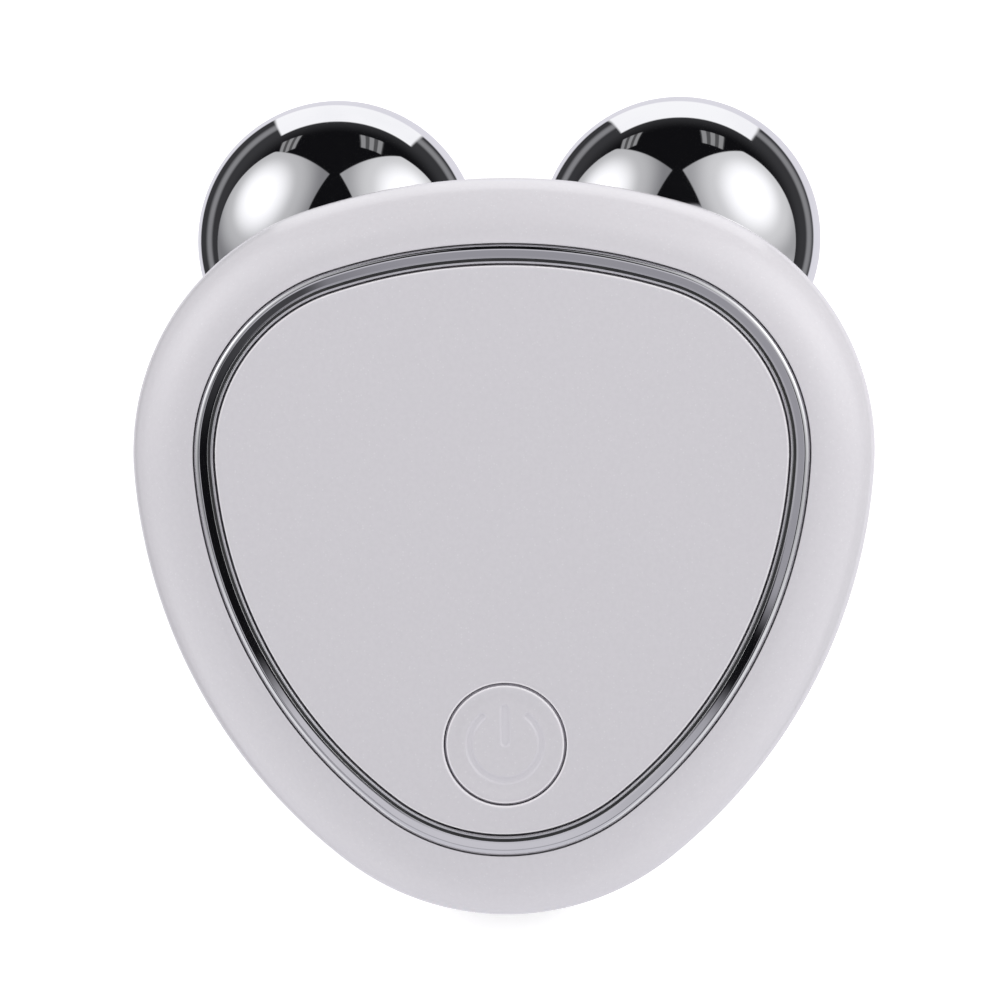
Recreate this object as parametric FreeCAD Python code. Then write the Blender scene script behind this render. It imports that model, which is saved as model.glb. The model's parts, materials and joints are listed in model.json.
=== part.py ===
import FreeCAD, Part
import math
import os

from FreeCAD import Placement, Rotation, Vector

# Facial roller: a palm-sized pearl-white case with a chrome ring round its flat front panel, a power button
# and two chrome balls that turn on slanted axles behind its wide end.
# Everything is drawn in the case's own frame (X to the right, Y towards the balls, Z out of the front panel,
# Z = 0 at the joint of the two shells, Y = 0 at the widest line) and then laid down on its balls and tail.
# All lengths are millimetres and all angles are degrees.

# Outline of the case seen from the front: six tangent arcs
body_width = 60.0
body_height = 59.65
top_radius = 51.6
shoulder_radius = 20.6
side_radius = 44.1
tail_radius = 21.4

# Shells
wall = 1.8
rim_flank = 1.5
rim_radius = 6.0
dome_run = 16.0
dome_depth = 12.0
seam_bevel = 0.15
deck_thickness = 1.6

# Trim ring and front panel
ring_inset = 5.17
ring_width = 1.48
trim_gap = 0.15
ring_bevel = 0.25
ring_band = 0.62
ring_groove = 0.15
ring_groove_depth = 0.35
ring_crown = 0.12
panel_thickness = 1.5
panel_edge_radius = 0.25

# Power button and its symbol
button_diameter = 9.5
button_gap = 0.2
button_rise = 14.2
button_travel = 0.5
button_edge_radius = 0.25
button_top_thickness = 1.6
button_wall = 0.95
button_flange_width = 0.9
button_flange_thickness = 0.9
button_flange_gap = 0.15
button_post_diameter = 3.0
symbol_outer_diameter = 6.5
symbol_stroke = 0.7
symbol_opening = 78.0
symbol_bar_width = 0.9
symbol_bar_top = 3.3
symbol_bar_bottom = -0.25
symbol_proud = 0.03
guide_thickness = 0.8
guide_margin = 0.35

# Fits
press_gap = 0.02
running_gap = 0.05
thrust_gap = 0.1
loose_gap = 0.4
contact_gap = 0.05

# Roller balls
ball_diameter = 23.5
ball_spacing_gap = 5.0
ball_inset = 5.3
ball_clearance = 0.9
cap_diameter = 6.8
cap_thickness = 3.0

# Axles: each runs from its root inside the case to the middle of its ball
axle_root_spread = 12.0
axle_root_rise = 6.0
axle_root_drop = 2.5
axle_diameter = 3.0
axle_thread_diameter = 2.4
axle_thread_length = 5.0
axle_head_diameter = 5.6
axle_head_height = 1.9
bush_wall = 0.8
bush_stand_out = 0.9
bush_reach = 4.0
washer_thickness = 0.5
washer_diameter = 5.4
insert_diameter = 4.2
boss_diameter = 6.2
collar_width = 1.9
collar_taper = 0.8
collar_gap = 0.5

# Roller bracket
bracket_thickness = 2.0
bracket_drop = 2.6
bracket_width = 7.0
bracket_arm_depth = 5.6
bracket_arm_overhang = 1.0
bracket_tail_y = -1.0
bracket_nose_inset = 8.6
bracket_screw_inset = 2.6
boss_gap = 0.1

# Circuit board and what is on it
board_inset = 4.2
board_drop = 6.6
board_thickness = 1.2
board_nose_y = 11.5
switch_side = 6.0
switch_height = 3.4
plunger_diameter = 3.5
plunger_stand_out = 1.0
plunger_in = 1.0
led_length = 2.0
led_width = 1.25
led_height = 0.8
led_offset_x = 4.6
chip_height = 1.5
controller_length = 9.0
controller_width = 5.0
controller_rise = 27.6
controller_x = -7.0
charger_side = 4.0
charger_x = 6.5
charger_rise = 28.6
inductor_side = 5.0
inductor_height = 2.6
inductor_chamfer = 1.0
inductor_x = 6.5
inductor_spacing = 3.0

# Charging socket in the tail
socket_width = 8.94
socket_height = 3.26
socket_depth = 7.35
socket_wall = 0.3
socket_inset = 2.6
socket_gap = 0.25
tongue_width = 6.6
tongue_thickness = 0.7
tongue_short = 1.0
socket_back_wall = 0.8

# Battery
battery_width = 19.0
battery_thickness = 5.0
battery_nose_y = -2.5
battery_tail_inset = 17.1
battery_drop = 0.6
battery_corner = 1.2
pad_width = 12.0
pad_length = 7.0
lead_diameter = 1.0
lead_spacing = 1.6
lead_inset = 3.5
lead_reach = 1.6
lead_drop = 2.4
lead_bend = 1.1

# Contacts
pin_diameter = 1.6
leaf_thickness = 0.2
leaf_width = 2.0
leaf_foot = 2.6

# Screws and the bosses that take them
screw_boss_diameter = 4.6
screw_back_boss_diameter = 6.0
screw_inset = 8.0
screw_upper_angle = 25.0
screw_lower_angle = -45.0
screw_split_z = -5.0
screw_seat_z = -8.3
screw_diameter = 1.6
screw_head_diameter = 3.6
screw_head_height = 1.2
screw_length = 9.0
screw_recess_gap = 0.25
slot_width = 0.5
slot_depth = 0.5
recess_margin = 0.6
post_diameter = 3.6
post_x = 14.5
post_rise = 26.6
small_screw_diameter = 1.4
small_screw_head_diameter = 2.8
small_screw_head_height = 1.0
small_screw_length = 5.0
bracket_screw_length = 4.0

X_AXIS = Vector(1, 0, 0)
Y_AXIS = Vector(0, 1, 0)
Z_AXIS = Vector(0, 0, 1)
SIDES = {"left": -1, "right": 1}

# Places that follow from the outline
shoulder_x = body_width / 2 - shoulder_radius
top_centre_y = -math.sqrt((top_radius - shoulder_radius) ** 2 - shoulder_x ** 2)
top_y = top_centre_y + top_radius
tail_y = top_y - body_height
tail_centre_y = tail_y + tail_radius

# Heights that follow from the shells, front to back
crest_z = rim_flank + math.sqrt(rim_radius ** 2 - (rim_radius - ring_inset) ** 2)
deck_top_z = crest_z - panel_thickness
deck_bottom_z = deck_top_z - deck_thickness
board_top_z = deck_bottom_z - board_drop
board_bottom_z = board_top_z - board_thickness
floor_z = wall - dome_depth
battery_top_z = board_bottom_z - battery_drop
battery_bottom_z = battery_top_z - battery_thickness
bracket_top_z = board_bottom_z - bracket_drop
bracket_bottom_z = bracket_top_z - bracket_thickness

# Insets of the trim, from the outline inwards
ring_outer_inset = ring_inset + trim_gap
ring_inner_inset = ring_outer_inset + ring_width
panel_inset = ring_inner_inset + trim_gap
button_y = tail_y + button_rise

# Places along Y of the board's posts and of what lies on the board, from the tail
post_y = tail_y + post_rise
controller_y = tail_y + controller_rise
charger_y = tail_y + charger_rise
inductor_y = charger_y + (charger_side + inductor_side) / 2 + inductor_spacing


def side_centre():
    """Centre of the right-hand side arc, tangent to the shoulder arc and the tail arc."""
    to_shoulder = side_radius - shoulder_radius
    to_tail = side_radius - tail_radius
    span = math.hypot(shoulder_x, tail_centre_y)
    along = (to_tail ** 2 - to_shoulder ** 2 + span ** 2) / (2 * span)
    across = math.sqrt(to_tail ** 2 - along ** 2)
    unit_x = shoulder_x / span
    unit_y = -tail_centre_y / span
    return Vector(along * unit_x - across * unit_y, tail_centre_y + along * unit_y + across * unit_x, 0)


def outline_arcs():
    """The outline's arcs, anticlockwise from the right side: centre, radius, start angle, end angle."""
    side = side_centre()
    shoulder = Vector(shoulder_x, 0, 0)
    to_tail = math.degrees(math.atan2(tail_centre_y - side.y, -side.x))
    to_shoulder = math.degrees(math.atan2(-side.y, shoulder_x - side.x))
    to_top = math.degrees(math.atan2(-top_centre_y, shoulder_x))
    return [
        (side, side_radius, to_tail, to_shoulder),
        (shoulder, shoulder_radius, to_shoulder, to_top),
        (Vector(0, top_centre_y, 0), top_radius, to_top, 180 - to_top),
        (Vector(-shoulder.x, 0, 0), shoulder_radius, 180 - to_top, 180 - to_shoulder),
        (Vector(-side.x, side.y, 0), side_radius, 180 - to_shoulder, 180 - to_tail),
        (Vector(0, tail_centre_y, 0), tail_radius, 180 - to_tail, 360 + to_tail),
    ]


def polar(centre, radius, angle):
    """The point at a radius and an angle from a centre."""
    return centre + Vector(math.cos(math.radians(angle)), math.sin(math.radians(angle)), 0) * radius


def slab(inset, low, high):
    """A plate of the outline, drawn in by an inset, between two heights."""
    edges = []
    for centre, radius, start, end in outline_arcs():
        points = [polar(centre, radius - inset, angle) for angle in (start, (start + end) / 2, end)]
        edges.append(Part.Arc(*points).toShape())
    plate = Part.Face(Part.Wire(edges)).extrude(Z_AXIS * (high - low))
    plate.translate(Z_AXIS * low)
    return plate


def carried_round(profile):
    """A solid ring: a profile face with X as minus the inset, carried round the outline."""
    pieces = []
    for centre, radius, start, end in outline_arcs():
        section = profile.copy()
        section.translate(X_AXIS * radius)
        section.rotate(Vector(), Z_AXIS, start)
        section.translate(centre)
        pieces.append(section.revolve(centre, Z_AXIS, end - start))
    return pieces[0].fuse(pieces[1:]).removeSplitter()


def at(inset, height):
    """A point of a profile."""
    return Vector(-inset, 0, height)


def line(start, end):
    """A straight edge."""
    return Part.LineSegment(start, end).toShape()


def face_of(edges):
    """A flat face inside a closed run of edges."""
    return Part.Face(Part.Wire(edges))


def rod(radius, low, high, x=0.0, y=0.0):
    """An upright cylinder between two heights."""
    return Part.makeCylinder(radius, high - low, Vector(x, y, low))


def block(width, length, low, high, x=0.0, y=0.0):
    """An upright box centred on a point of the plan, between two heights."""
    return Part.makeBox(width, length, high - low, Vector(x - width / 2, y - length / 2, low))


def dome(shrink):
    """The solid of the back dome from the seam plane down, with its surface drawn in by a thickness."""
    centre = at(dome_run, 0)
    side = at(shrink, 0)
    bottom = at(dome_run, shrink - dome_depth)
    ends = [side, bottom] if dome_run >= dome_depth else [bottom, side]
    ellipse = Part.Ellipse(*ends, centre)
    first, last = ellipse.parameter(side), ellipse.parameter(bottom)
    first, last = sorted((first, last))
    if last - first > math.pi:
        first, last = last, first + 2 * math.pi
    quarter = ellipse.toShape(first, last)
    skirt = carried_round(face_of([quarter, line(bottom, centre), line(centre, side)]))
    return skirt.fuse(slab(dome_run, shrink - dome_depth, 0)).removeSplitter()


def seam_groove():
    """The fine V groove where the two shells meet."""
    corners = [at(-seam_bevel, 2 * seam_bevel), at(seam_bevel, 0), at(-seam_bevel, -2 * seam_bevel)]
    return carried_round(Part.Face(Part.makePolygon(corners + corners[:1])))


def inset_of(x, y):
    """How far inside the outline a point of the plan lies."""
    for centre, radius, start, end in outline_arcs():
        angle = math.degrees(math.atan2(y - centre.y, x - centre.x)) % 360
        if start <= angle <= end or start <= angle - 360 <= end:
            return radius - math.hypot(x - centre.x, y - centre.y)
    raise ValueError("the point lies outside every arc's sector")


def ball_centre(side):
    """Middle of a ball: placed in plan, and as close behind the dome as its clearance allows."""
    x = ball_spacing_gap / 2 + ball_diameter / 2
    y = top_y - ball_inset
    reach = ball_diameter / 2 + ball_clearance
    target = inset_of(x, y)
    low, high = 0.0, math.pi / 2
    for _ in range(60):
        turn = (low + high) / 2
        slope = math.hypot(math.cos(turn) / dome_run, math.sin(turn) / dome_depth)
        outward = math.cos(turn) / dome_run / slope
        backward = math.sin(turn) / dome_depth / slope
        inset = dome_run * (1 - math.cos(turn)) - reach * outward
        low, high = (turn, high) if inset < target else (low, turn)
    return Vector(side * x, y, -dome_depth * math.sin(turn) - reach * backward)


def axle_root(side):
    """The inner end of an axle, in the bracket."""
    return Vector(side * axle_root_spread / 2, axle_root_rise, board_bottom_z - axle_root_drop)


def axle_placement(side):
    """Turns what is drawn about Z, with the ball's middle at zero, onto a roller's axle."""
    centre = ball_centre(side)
    return Placement(centre, Rotation(Z_AXIS, centre - axle_root(side)))


def on_axle(side, shape):
    """A copy of a shape drawn about Z, set on a roller's axle."""
    placed = shape.copy()
    placed.Placement = axle_placement(side).multiply(placed.Placement)
    return placed


# Stations along an axle, from the ball's middle towards its outer pole
ball_radius = ball_diameter / 2
root_station = -(ball_centre(1) - axle_root(1)).Length
bush_station = -ball_radius - bush_stand_out
washer_station = bush_station - thrust_gap
boss_station = washer_station - washer_thickness
collar_station = collar_taper - ball_radius
bush_radius = axle_diameter / 2 + running_gap + bush_wall


def case_screw_places():
    """The four case screws in plan: two beside the shoulders and two beside the tail."""
    places = []
    for side in SIDES.values():
        upper = polar(Vector(shoulder_x, 0, 0), shoulder_radius - screw_inset, screw_upper_angle)
        lower = polar(Vector(0, tail_centre_y, 0), tail_radius - screw_inset, screw_lower_angle)
        places += [(side * upper.x, upper.y), (side * lower.x, lower.y)]
    return places


def board_screw_places():
    """The two board screws in plan."""
    return [(side * post_x, post_y) for side in SIDES.values()]


def bracket_screw_places():
    """The two bracket screws in plan, along the middle."""
    nose = top_y - bracket_nose_inset - bracket_screw_inset
    return [(0.0, nose), (0.0, bracket_tail_y + bracket_screw_inset)]


def ring_pin_place():
    """The pin under the trim ring in plan, on the widest line."""
    return -(body_width / 2 - ring_outer_inset - ring_width / 2), 0.0


def front_shell():
    """Rounded rim, the deck that the trim lies on, and the bosses and posts under it."""
    rim_centre = at(rim_radius, rim_flank)
    inner_radius = rim_radius - wall
    outer_turn = math.acos((rim_radius - ring_inset) / rim_radius)
    inner_turn = math.asin((deck_bottom_z - rim_flank) / inner_radius)

    def on_rim(radius, turn):
        return rim_centre + Vector(math.cos(turn), 0, math.sin(turn)) * radius

    outer = [on_rim(rim_radius, outer_turn * share) for share in (0, 0.5, 1)]
    inner = [on_rim(inner_radius, inner_turn * share) for share in (0, 0.5, 1)]
    corners = [
        at(ring_inset, deck_top_z), at(ring_inner_inset, deck_top_z), at(ring_inner_inset, deck_bottom_z),
    ]
    profile = face_of([
        line(at(0, 0), outer[0]),
        Part.Arc(*outer).toShape(),
        line(outer[2], corners[0]),
        line(corners[0], corners[1]),
        line(corners[1], corners[2]),
        line(corners[2], inner[2]),
        Part.Arc(*inner).toShape(),
        line(inner[0], at(wall, 0)),
        line(at(wall, 0), at(0, 0)),
    ])
    shell = carried_round(profile).fuse(slab(ring_inner_inset, deck_bottom_z, deck_top_z))
    bosses = [rod(screw_boss_diameter / 2, screw_split_z, deck_top_z, x, y) for x, y in case_screw_places()]
    posts = [rod(post_diameter / 2, board_top_z, deck_top_z, x, y) for x, y in board_screw_places()]
    shell = shell.fuse(bosses + posts).removeSplitter()
    pilots = [
        rod(screw_diameter / 2 + press_gap, screw_split_z, screw_seat_z + screw_length + loose_gap, x, y)
        for x, y in case_screw_places()
    ]
    pilots += [
        rod(small_screw_diameter / 2 + press_gap, board_top_z,
            board_bottom_z + small_screw_length + loose_gap, x, y)
        for x, y in board_screw_places()
    ]
    button_hole = rod(button_diameter / 2 + button_gap, deck_bottom_z, deck_top_z, 0, button_y)
    pin_hole = rod(pin_diameter / 2 + boss_gap, deck_bottom_z, deck_top_z, *ring_pin_place())
    return shell.cut(pilots + [button_hole, pin_hole, seam_groove()])


def back_shell():
    """Domed back with its screw bosses, the posts of the bracket, the axle holes and the socket's mouth."""
    outer = dome(0)
    shell = outer.cut(dome(wall))
    bosses = [
        rod(screw_back_boss_diameter / 2, -dome_depth, screw_split_z, x, y) for x, y in case_screw_places()
    ]
    bosses += [rod(post_diameter / 2, -dome_depth, bracket_bottom_z, x, y) for x, y in bracket_screw_places()]
    shell = shell.fuse([boss.common(outer) for boss in bosses]).removeSplitter()
    cuts = [on_axle(side, rod(boss_diameter / 2 + boss_gap, root_station, collar_station))
            for side in SIDES.values()]
    for x, y in case_screw_places():
        cuts.append(rod(screw_diameter / 2 + boss_gap, -dome_depth, screw_split_z, x, y))
        cuts.append(rod(screw_head_diameter / 2 + screw_recess_gap, -dome_depth, screw_seat_z, x, y))
    tip_z = bracket_top_z - bracket_screw_length - loose_gap / 2
    cuts += [rod(small_screw_diameter / 2 + press_gap, tip_z, bracket_bottom_z, x, y)
             for x, y in bracket_screw_places()]
    cuts.append(socket_envelope(socket_gap, tail_y, tail_y + socket_inset + socket_depth))
    return shell.cut(cuts + [seam_groove()])


def trim_ring():
    """Chrome ring: a bevel, a sloping band, a fine groove and an inner lip."""
    top = crest_z
    steps = [
        (0, deck_top_z),
        (0, top - ring_bevel),
        (ring_bevel, top + ring_crown),
        (ring_bevel + ring_band, top - ring_crown),
        (ring_bevel + ring_band, top - ring_groove_depth),
        (ring_bevel + ring_band + ring_groove, top - ring_groove_depth),
        (ring_bevel + ring_band + ring_groove, top - ring_crown),
        (ring_width - ring_bevel / 2, top - ring_crown),
        (ring_width, top - ring_bevel),
        (ring_width, deck_top_z),
    ]
    corners = [at(ring_outer_inset + inset, height) for inset, height in steps]
    return carried_round(Part.Face(Part.makePolygon(corners + corners[:1])))


def round_top_edges(shape, height, radius):
    """Rounds the edges that lie wholly at a height."""
    edges = [edge for edge in shape.Edges
             if abs(edge.BoundBox.ZMin - height) < 1e-4 and abs(edge.BoundBox.ZMax - height) < 1e-4]
    return shape.makeFillet(radius, edges)


def front_panel():
    """Flat panel inside the ring, with the button's hole."""
    panel = slab(panel_inset, deck_top_z, crest_z)
    hole = rod(button_diameter / 2 + button_gap, deck_top_z, crest_z, 0, button_y)
    return round_top_edges(panel.cut(hole), crest_z, panel_edge_radius)


def power_symbol(spread, low, high):
    """The power symbol as upright ribs, each widened by a spread: an open ring and a bar."""
    outer = symbol_outer_diameter / 2 + spread
    inner = symbol_outer_diameter / 2 - symbol_stroke - spread
    middle = (outer + inner) / 2
    stroke = outer - inner
    start = 90 + symbol_opening / 2
    sweep = 360 - symbol_opening
    ring = Part.makeCylinder(outer, high - low, Vector(0, 0, low), Z_AXIS, sweep)
    ring = ring.cut(rod(inner, low, high))
    ring.rotate(Vector(), Z_AXIS, start)
    ends = [polar(Vector(), middle, angle) for angle in (start, start + sweep)]
    caps = [rod(stroke / 2, low, high, end.x, end.y) for end in ends]
    bar_width = symbol_bar_width + 2 * spread
    bar_low = symbol_bar_bottom - spread + bar_width / 2
    bar_high = symbol_bar_top + spread - bar_width / 2
    bar = block(bar_width, bar_high - bar_low, low, high, 0, (bar_low + bar_high) / 2)
    bar = bar.fuse([rod(bar_width / 2, low, high, 0, y) for y in (bar_low, bar_high)])
    symbol = ring.fuse(caps + [bar]).removeSplitter()
    symbol.translate(Vector(0, button_y, 0))
    return symbol


# Heights of the button and the switch under it
cap_bottom_z = crest_z - button_top_thickness
flange_top_z = deck_bottom_z - button_flange_gap
flange_bottom_z = flange_top_z - button_flange_thickness
switch_top_z = board_top_z + switch_height
plunger_top_z = switch_top_z + plunger_stand_out
guide_bottom_z = cap_bottom_z - guide_thickness


def power_button():
    """Cup-shaped cap with a flange that the deck holds in, a post to the switch and the symbol's slots."""
    outer = button_diameter / 2
    cap = round_top_edges(rod(outer, flange_bottom_z, crest_z, 0, button_y), crest_z, button_edge_radius)
    flange = rod(outer + button_flange_width, flange_bottom_z, flange_top_z, 0, button_y)
    hollow = rod(outer - button_wall, flange_bottom_z, cap_bottom_z, 0, button_y)
    post = rod(button_post_diameter / 2, plunger_top_z + contact_gap, cap_bottom_z, 0, button_y)
    slots = power_symbol(press_gap, cap_bottom_z, crest_z + symbol_proud)
    return cap.fuse(flange).cut(hollow).fuse(post).cut(slots).removeSplitter()


def symbol_light_guide():
    """Clear disc under the button's top, whose ribs fill the symbol's slots."""
    radius = symbol_outer_diameter / 2 + guide_margin
    disc = rod(radius, guide_bottom_z, cap_bottom_z, 0, button_y)
    guide = disc.fuse(power_symbol(0, guide_bottom_z, crest_z + symbol_proud))
    return guide.cut(rod(button_post_diameter / 2 + boss_gap, guide_bottom_z, cap_bottom_z, 0, button_y))


def tact_switch_body():
    """Square switch housing with the plunger's bore in its top."""
    body = block(switch_side, switch_side, board_top_z, switch_top_z, 0, button_y)
    depth = plunger_in + button_travel + loose_gap
    return body.cut(rod(plunger_diameter / 2 + running_gap, switch_top_z - depth, switch_top_z, 0, button_y))


def tact_switch_plunger():
    """Round plunger that the button's post pushes."""
    return rod(plunger_diameter / 2, switch_top_z - plunger_in, plunger_top_z, 0, button_y)


def circuit_board():
    """Board with the case's outline, open round the case bosses and drilled for its screws."""
    board = slab(board_inset, board_bottom_z, board_top_z)
    room = body_width + body_height
    board = board.cut(block(room, room, board_bottom_z, board_top_z, 0, board_nose_y + room / 2))
    holes = [
        rod(screw_boss_diameter / 2 + loose_gap, board_bottom_z, board_top_z, x, y)
        for x, y in case_screw_places()
    ]
    holes += [
        rod(small_screw_diameter / 2 + boss_gap, board_bottom_z, board_top_z, x, y)
        for x, y in board_screw_places()
    ]
    return board.cut(holes)


def on_board(width, length, height, x, y):
    """A part with a rectangular body that lies on the board."""
    return block(width, length, board_top_z, board_top_z + height, x, y)


def inductor():
    """Power inductor: a square body with its corners cut off."""
    body = on_board(inductor_side, inductor_side, inductor_height, inductor_x, inductor_y)
    upright = [edge for edge in body.Edges if edge.BoundBox.ZLength > inductor_height / 2]
    return body.makeChamfer(inductor_chamfer, upright)


def socket_envelope(spread, start_y, end_y):
    """A flat-oval bar along Y, as wide and high as the charging socket plus a spread all round."""
    radius = socket_height / 2 + spread
    middle_z = board_bottom_z - socket_height / 2
    half_flat = (socket_width - socket_height) / 2
    length = end_y - start_y
    bar = Part.makeBox(2 * half_flat, length, 2 * radius, Vector(-half_flat, start_y, middle_z - radius))
    ends = [
        Part.makeCylinder(radius, length, Vector(side * half_flat, start_y, middle_z), Y_AXIS)
        for side in SIDES.values()
    ]
    return bar.fuse(ends).removeSplitter()


# Where the charging socket begins and ends along Y
socket_mouth_y = tail_y + socket_inset
socket_end_y = socket_mouth_y + socket_depth


def charging_socket():
    """Drawn metal shell of the socket, open towards the tail."""
    shell = socket_envelope(0, socket_mouth_y, socket_end_y)
    return shell.cut(socket_envelope(-socket_wall, socket_mouth_y, socket_end_y - socket_back_wall))


def socket_tongue():
    """Contact tongue in the middle of the socket."""
    middle_z = board_bottom_z - socket_height / 2
    start = socket_mouth_y + tongue_short
    end = socket_end_y - socket_back_wall
    return block(tongue_width, end - start, middle_z - tongue_thickness / 2, middle_z + tongue_thickness / 2,
                 0, (start + end) / 2)


# Length of the battery and its middle along Y, and the middle of its pair of leads along X
battery_length = battery_nose_y - tail_y - battery_tail_inset
battery_y = battery_nose_y - battery_length / 2
lead_x = lead_inset - battery_width / 2


def battery():
    """Flat pouch cell with rounded sides."""
    cell = block(battery_width, battery_length, battery_bottom_z, battery_top_z, 0, battery_y)
    long_edges = [edge for edge in cell.Edges if edge.BoundBox.YLength > battery_length / 2]
    return cell.makeFillet(battery_corner, long_edges)


def battery_pad():
    """Foam pad between the battery and the back shell's floor."""
    return block(pad_width, pad_length, floor_z, battery_bottom_z, 0, battery_y)


def battery_lead(x):
    """Insulated lead out of the battery's end and up to the board."""
    start = Vector(x, battery_nose_y, battery_top_z - lead_drop)
    corner = start + Y_AXIS * lead_reach
    end = Vector(corner.x, corner.y, board_bottom_z)
    bend_start = corner - Y_AXIS * lead_bend
    bend_end = corner + Z_AXIS * lead_bend
    bend_middle = bend_start + Y_AXIS * lead_bend * math.sin(math.pi / 4)
    bend_middle += Z_AXIS * lead_bend * (1 - math.cos(math.pi / 4))
    path = Part.Wire([
        line(start, bend_start), Part.Arc(bend_start, bend_middle, bend_end).toShape(), line(bend_end, end),
    ])
    section = Part.Wire(Part.makeCircle(lead_diameter / 2, start, Y_AXIS))
    return path.makePipeShell([section], True, False)


def roller_bracket():
    """Inner frame: a beam along the middle, two arms and a boss for each axle."""
    nose_y = top_y - bracket_nose_inset
    beam = block(bracket_width, nose_y - bracket_tail_y, bracket_bottom_z, bracket_top_z,
                 0, (nose_y + bracket_tail_y) / 2)
    arms = block(axle_root_spread + 2 * bracket_arm_overhang, bracket_arm_depth, bracket_bottom_z,
                 bracket_top_z, 0, axle_root_rise)
    bosses = [on_axle(side, rod(boss_diameter / 2, root_station, boss_station)) for side in SIDES.values()]
    frame = beam.fuse([arms] + bosses)
    clear_front = insert_diameter
    bores = [
        on_axle(side, rod(insert_diameter / 2 + press_gap, root_station - clear_front, boss_station))
        for side in SIDES.values()
    ]
    bores += [
        rod(small_screw_diameter / 2 + boss_gap, bracket_bottom_z, bracket_top_z, x, y)
        for x, y in bracket_screw_places()
    ]
    return frame.cut(bores).removeSplitter()


def tube(outer, inner, low, high):
    """A round tube about Z."""
    return rod(outer, low, high).cut(rod(inner, low, high))


def roller_ball():
    """Polished ball, bored for its bush and with a pocket for the axle's head and the end cap."""
    ball = Part.makeSphere(ball_radius)
    bore = rod(bush_radius + press_gap, -ball_radius, bush_reach)
    pocket = rod(cap_diameter / 2 + press_gap, bush_reach, ball_radius)
    return ball.cut([bore, pocket])


def ball_cap():
    """Plug that closes the ball's outer pole, flush with its surface."""
    shoulder = math.sqrt(ball_radius ** 2 - (cap_diameter / 2) ** 2)
    plug = rod(cap_diameter / 2, shoulder - cap_thickness, ball_radius)
    return plug.common(Part.makeSphere(ball_radius))


def ball_bush():
    """Bearing sleeve pressed into the ball."""
    return tube(bush_radius, axle_diameter / 2 + running_gap, bush_station, bush_reach)


def axle_screw():
    """Shoulder screw that is the ball's axle: thread, smooth shank and slotted head."""
    head_low = bush_reach + thrust_gap
    head_high = head_low + axle_head_height
    thread = rod(axle_thread_diameter / 2, boss_station - axle_thread_length, boss_station)
    shank = rod(axle_diameter / 2, boss_station, head_low)
    head = rod(axle_head_diameter / 2, head_low, head_high)
    slot = block(axle_head_diameter, slot_width, head_high - slot_depth, head_high)
    return thread.fuse([shank, head]).removeSplitter().cut(slot)


def thrust_washer():
    """Washer between the bush and the bracket's boss."""
    return tube(washer_diameter / 2, axle_diameter / 2 + running_gap, boss_station, washer_station)


def axle_insert():
    """Threaded brass insert in the bracket's boss."""
    return tube(insert_diameter / 2, axle_thread_diameter / 2 + press_gap, root_station, boss_station)


def neck_collar(side):
    """Tapered collar on the back shell, round an axle's boss and hollowed to the ball's curve."""
    wide = boss_diameter / 2 + collar_width
    depth = collar_station - root_station
    cone = Part.makeCone(wide + collar_taper, wide - collar_taper, depth, Vector(0, 0, root_station))
    cone = cone.cut([rod(boss_diameter / 2 + boss_gap, root_station, collar_station),
                     Part.makeSphere(ball_radius + collar_gap)])
    return on_axle(side, cone).cut(dome(0))


def roller_contact(side):
    """Contact leaf: a blade that lies on the insert's end, and a foot under the board."""
    root = axle_root(side)
    facing = (root - ball_centre(side)).normalize()
    upward = (Z_AXIS - facing * facing.z).normalize()
    reach = (board_bottom_z - root.z) / upward.z
    start = insert_diameter / 4
    blade = Part.makeBox(reach - start + leaf_foot, leaf_width, leaf_thickness,
                         Vector(start, -leaf_width / 2, contact_gap))
    blade.Placement = Placement(root, Rotation(upward, facing.cross(upward), facing, "ZXY"))
    room = body_width
    blade = blade.common(block(room, room, -room, board_bottom_z, root.x, root.y))
    meeting = root + upward * reach
    foot = block(leaf_width, leaf_foot, board_bottom_z - leaf_thickness, board_bottom_z, meeting.x, meeting.y)
    return blade.fuse(foot).removeSplitter()


def ring_contact_pin():
    """Pin from the board up to the underside of the trim ring."""
    return rod(pin_diameter / 2, board_top_z, deck_top_z, *ring_pin_place())


def screw(diameter, length, head_diameter, head_height):
    """Screw with its head below Z = 0, its shank above it and a cross recess in the head."""
    body = rod(head_diameter / 2, -head_height, 0).fuse(rod(diameter / 2, 0, length)).removeSplitter()
    arm = head_diameter - 2 * recess_margin
    slots = [block(arm, slot_width, -head_height, slot_depth - head_height),
             block(slot_width, arm, -head_height, slot_depth - head_height)]
    return body.cut(slots)


def screw_set(places, seat_z, pointing_up, sizes):
    """A group of like screws, each with its head on a seat."""
    screws = []
    for x, y in places:
        copy = screw(*sizes)
        if not pointing_up:
            copy.rotate(Vector(), X_AXIS, 180)
        copy.translate(Vector(x, y, seat_z))
        screws.append(copy)
    return Part.makeCompound(screws)


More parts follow.
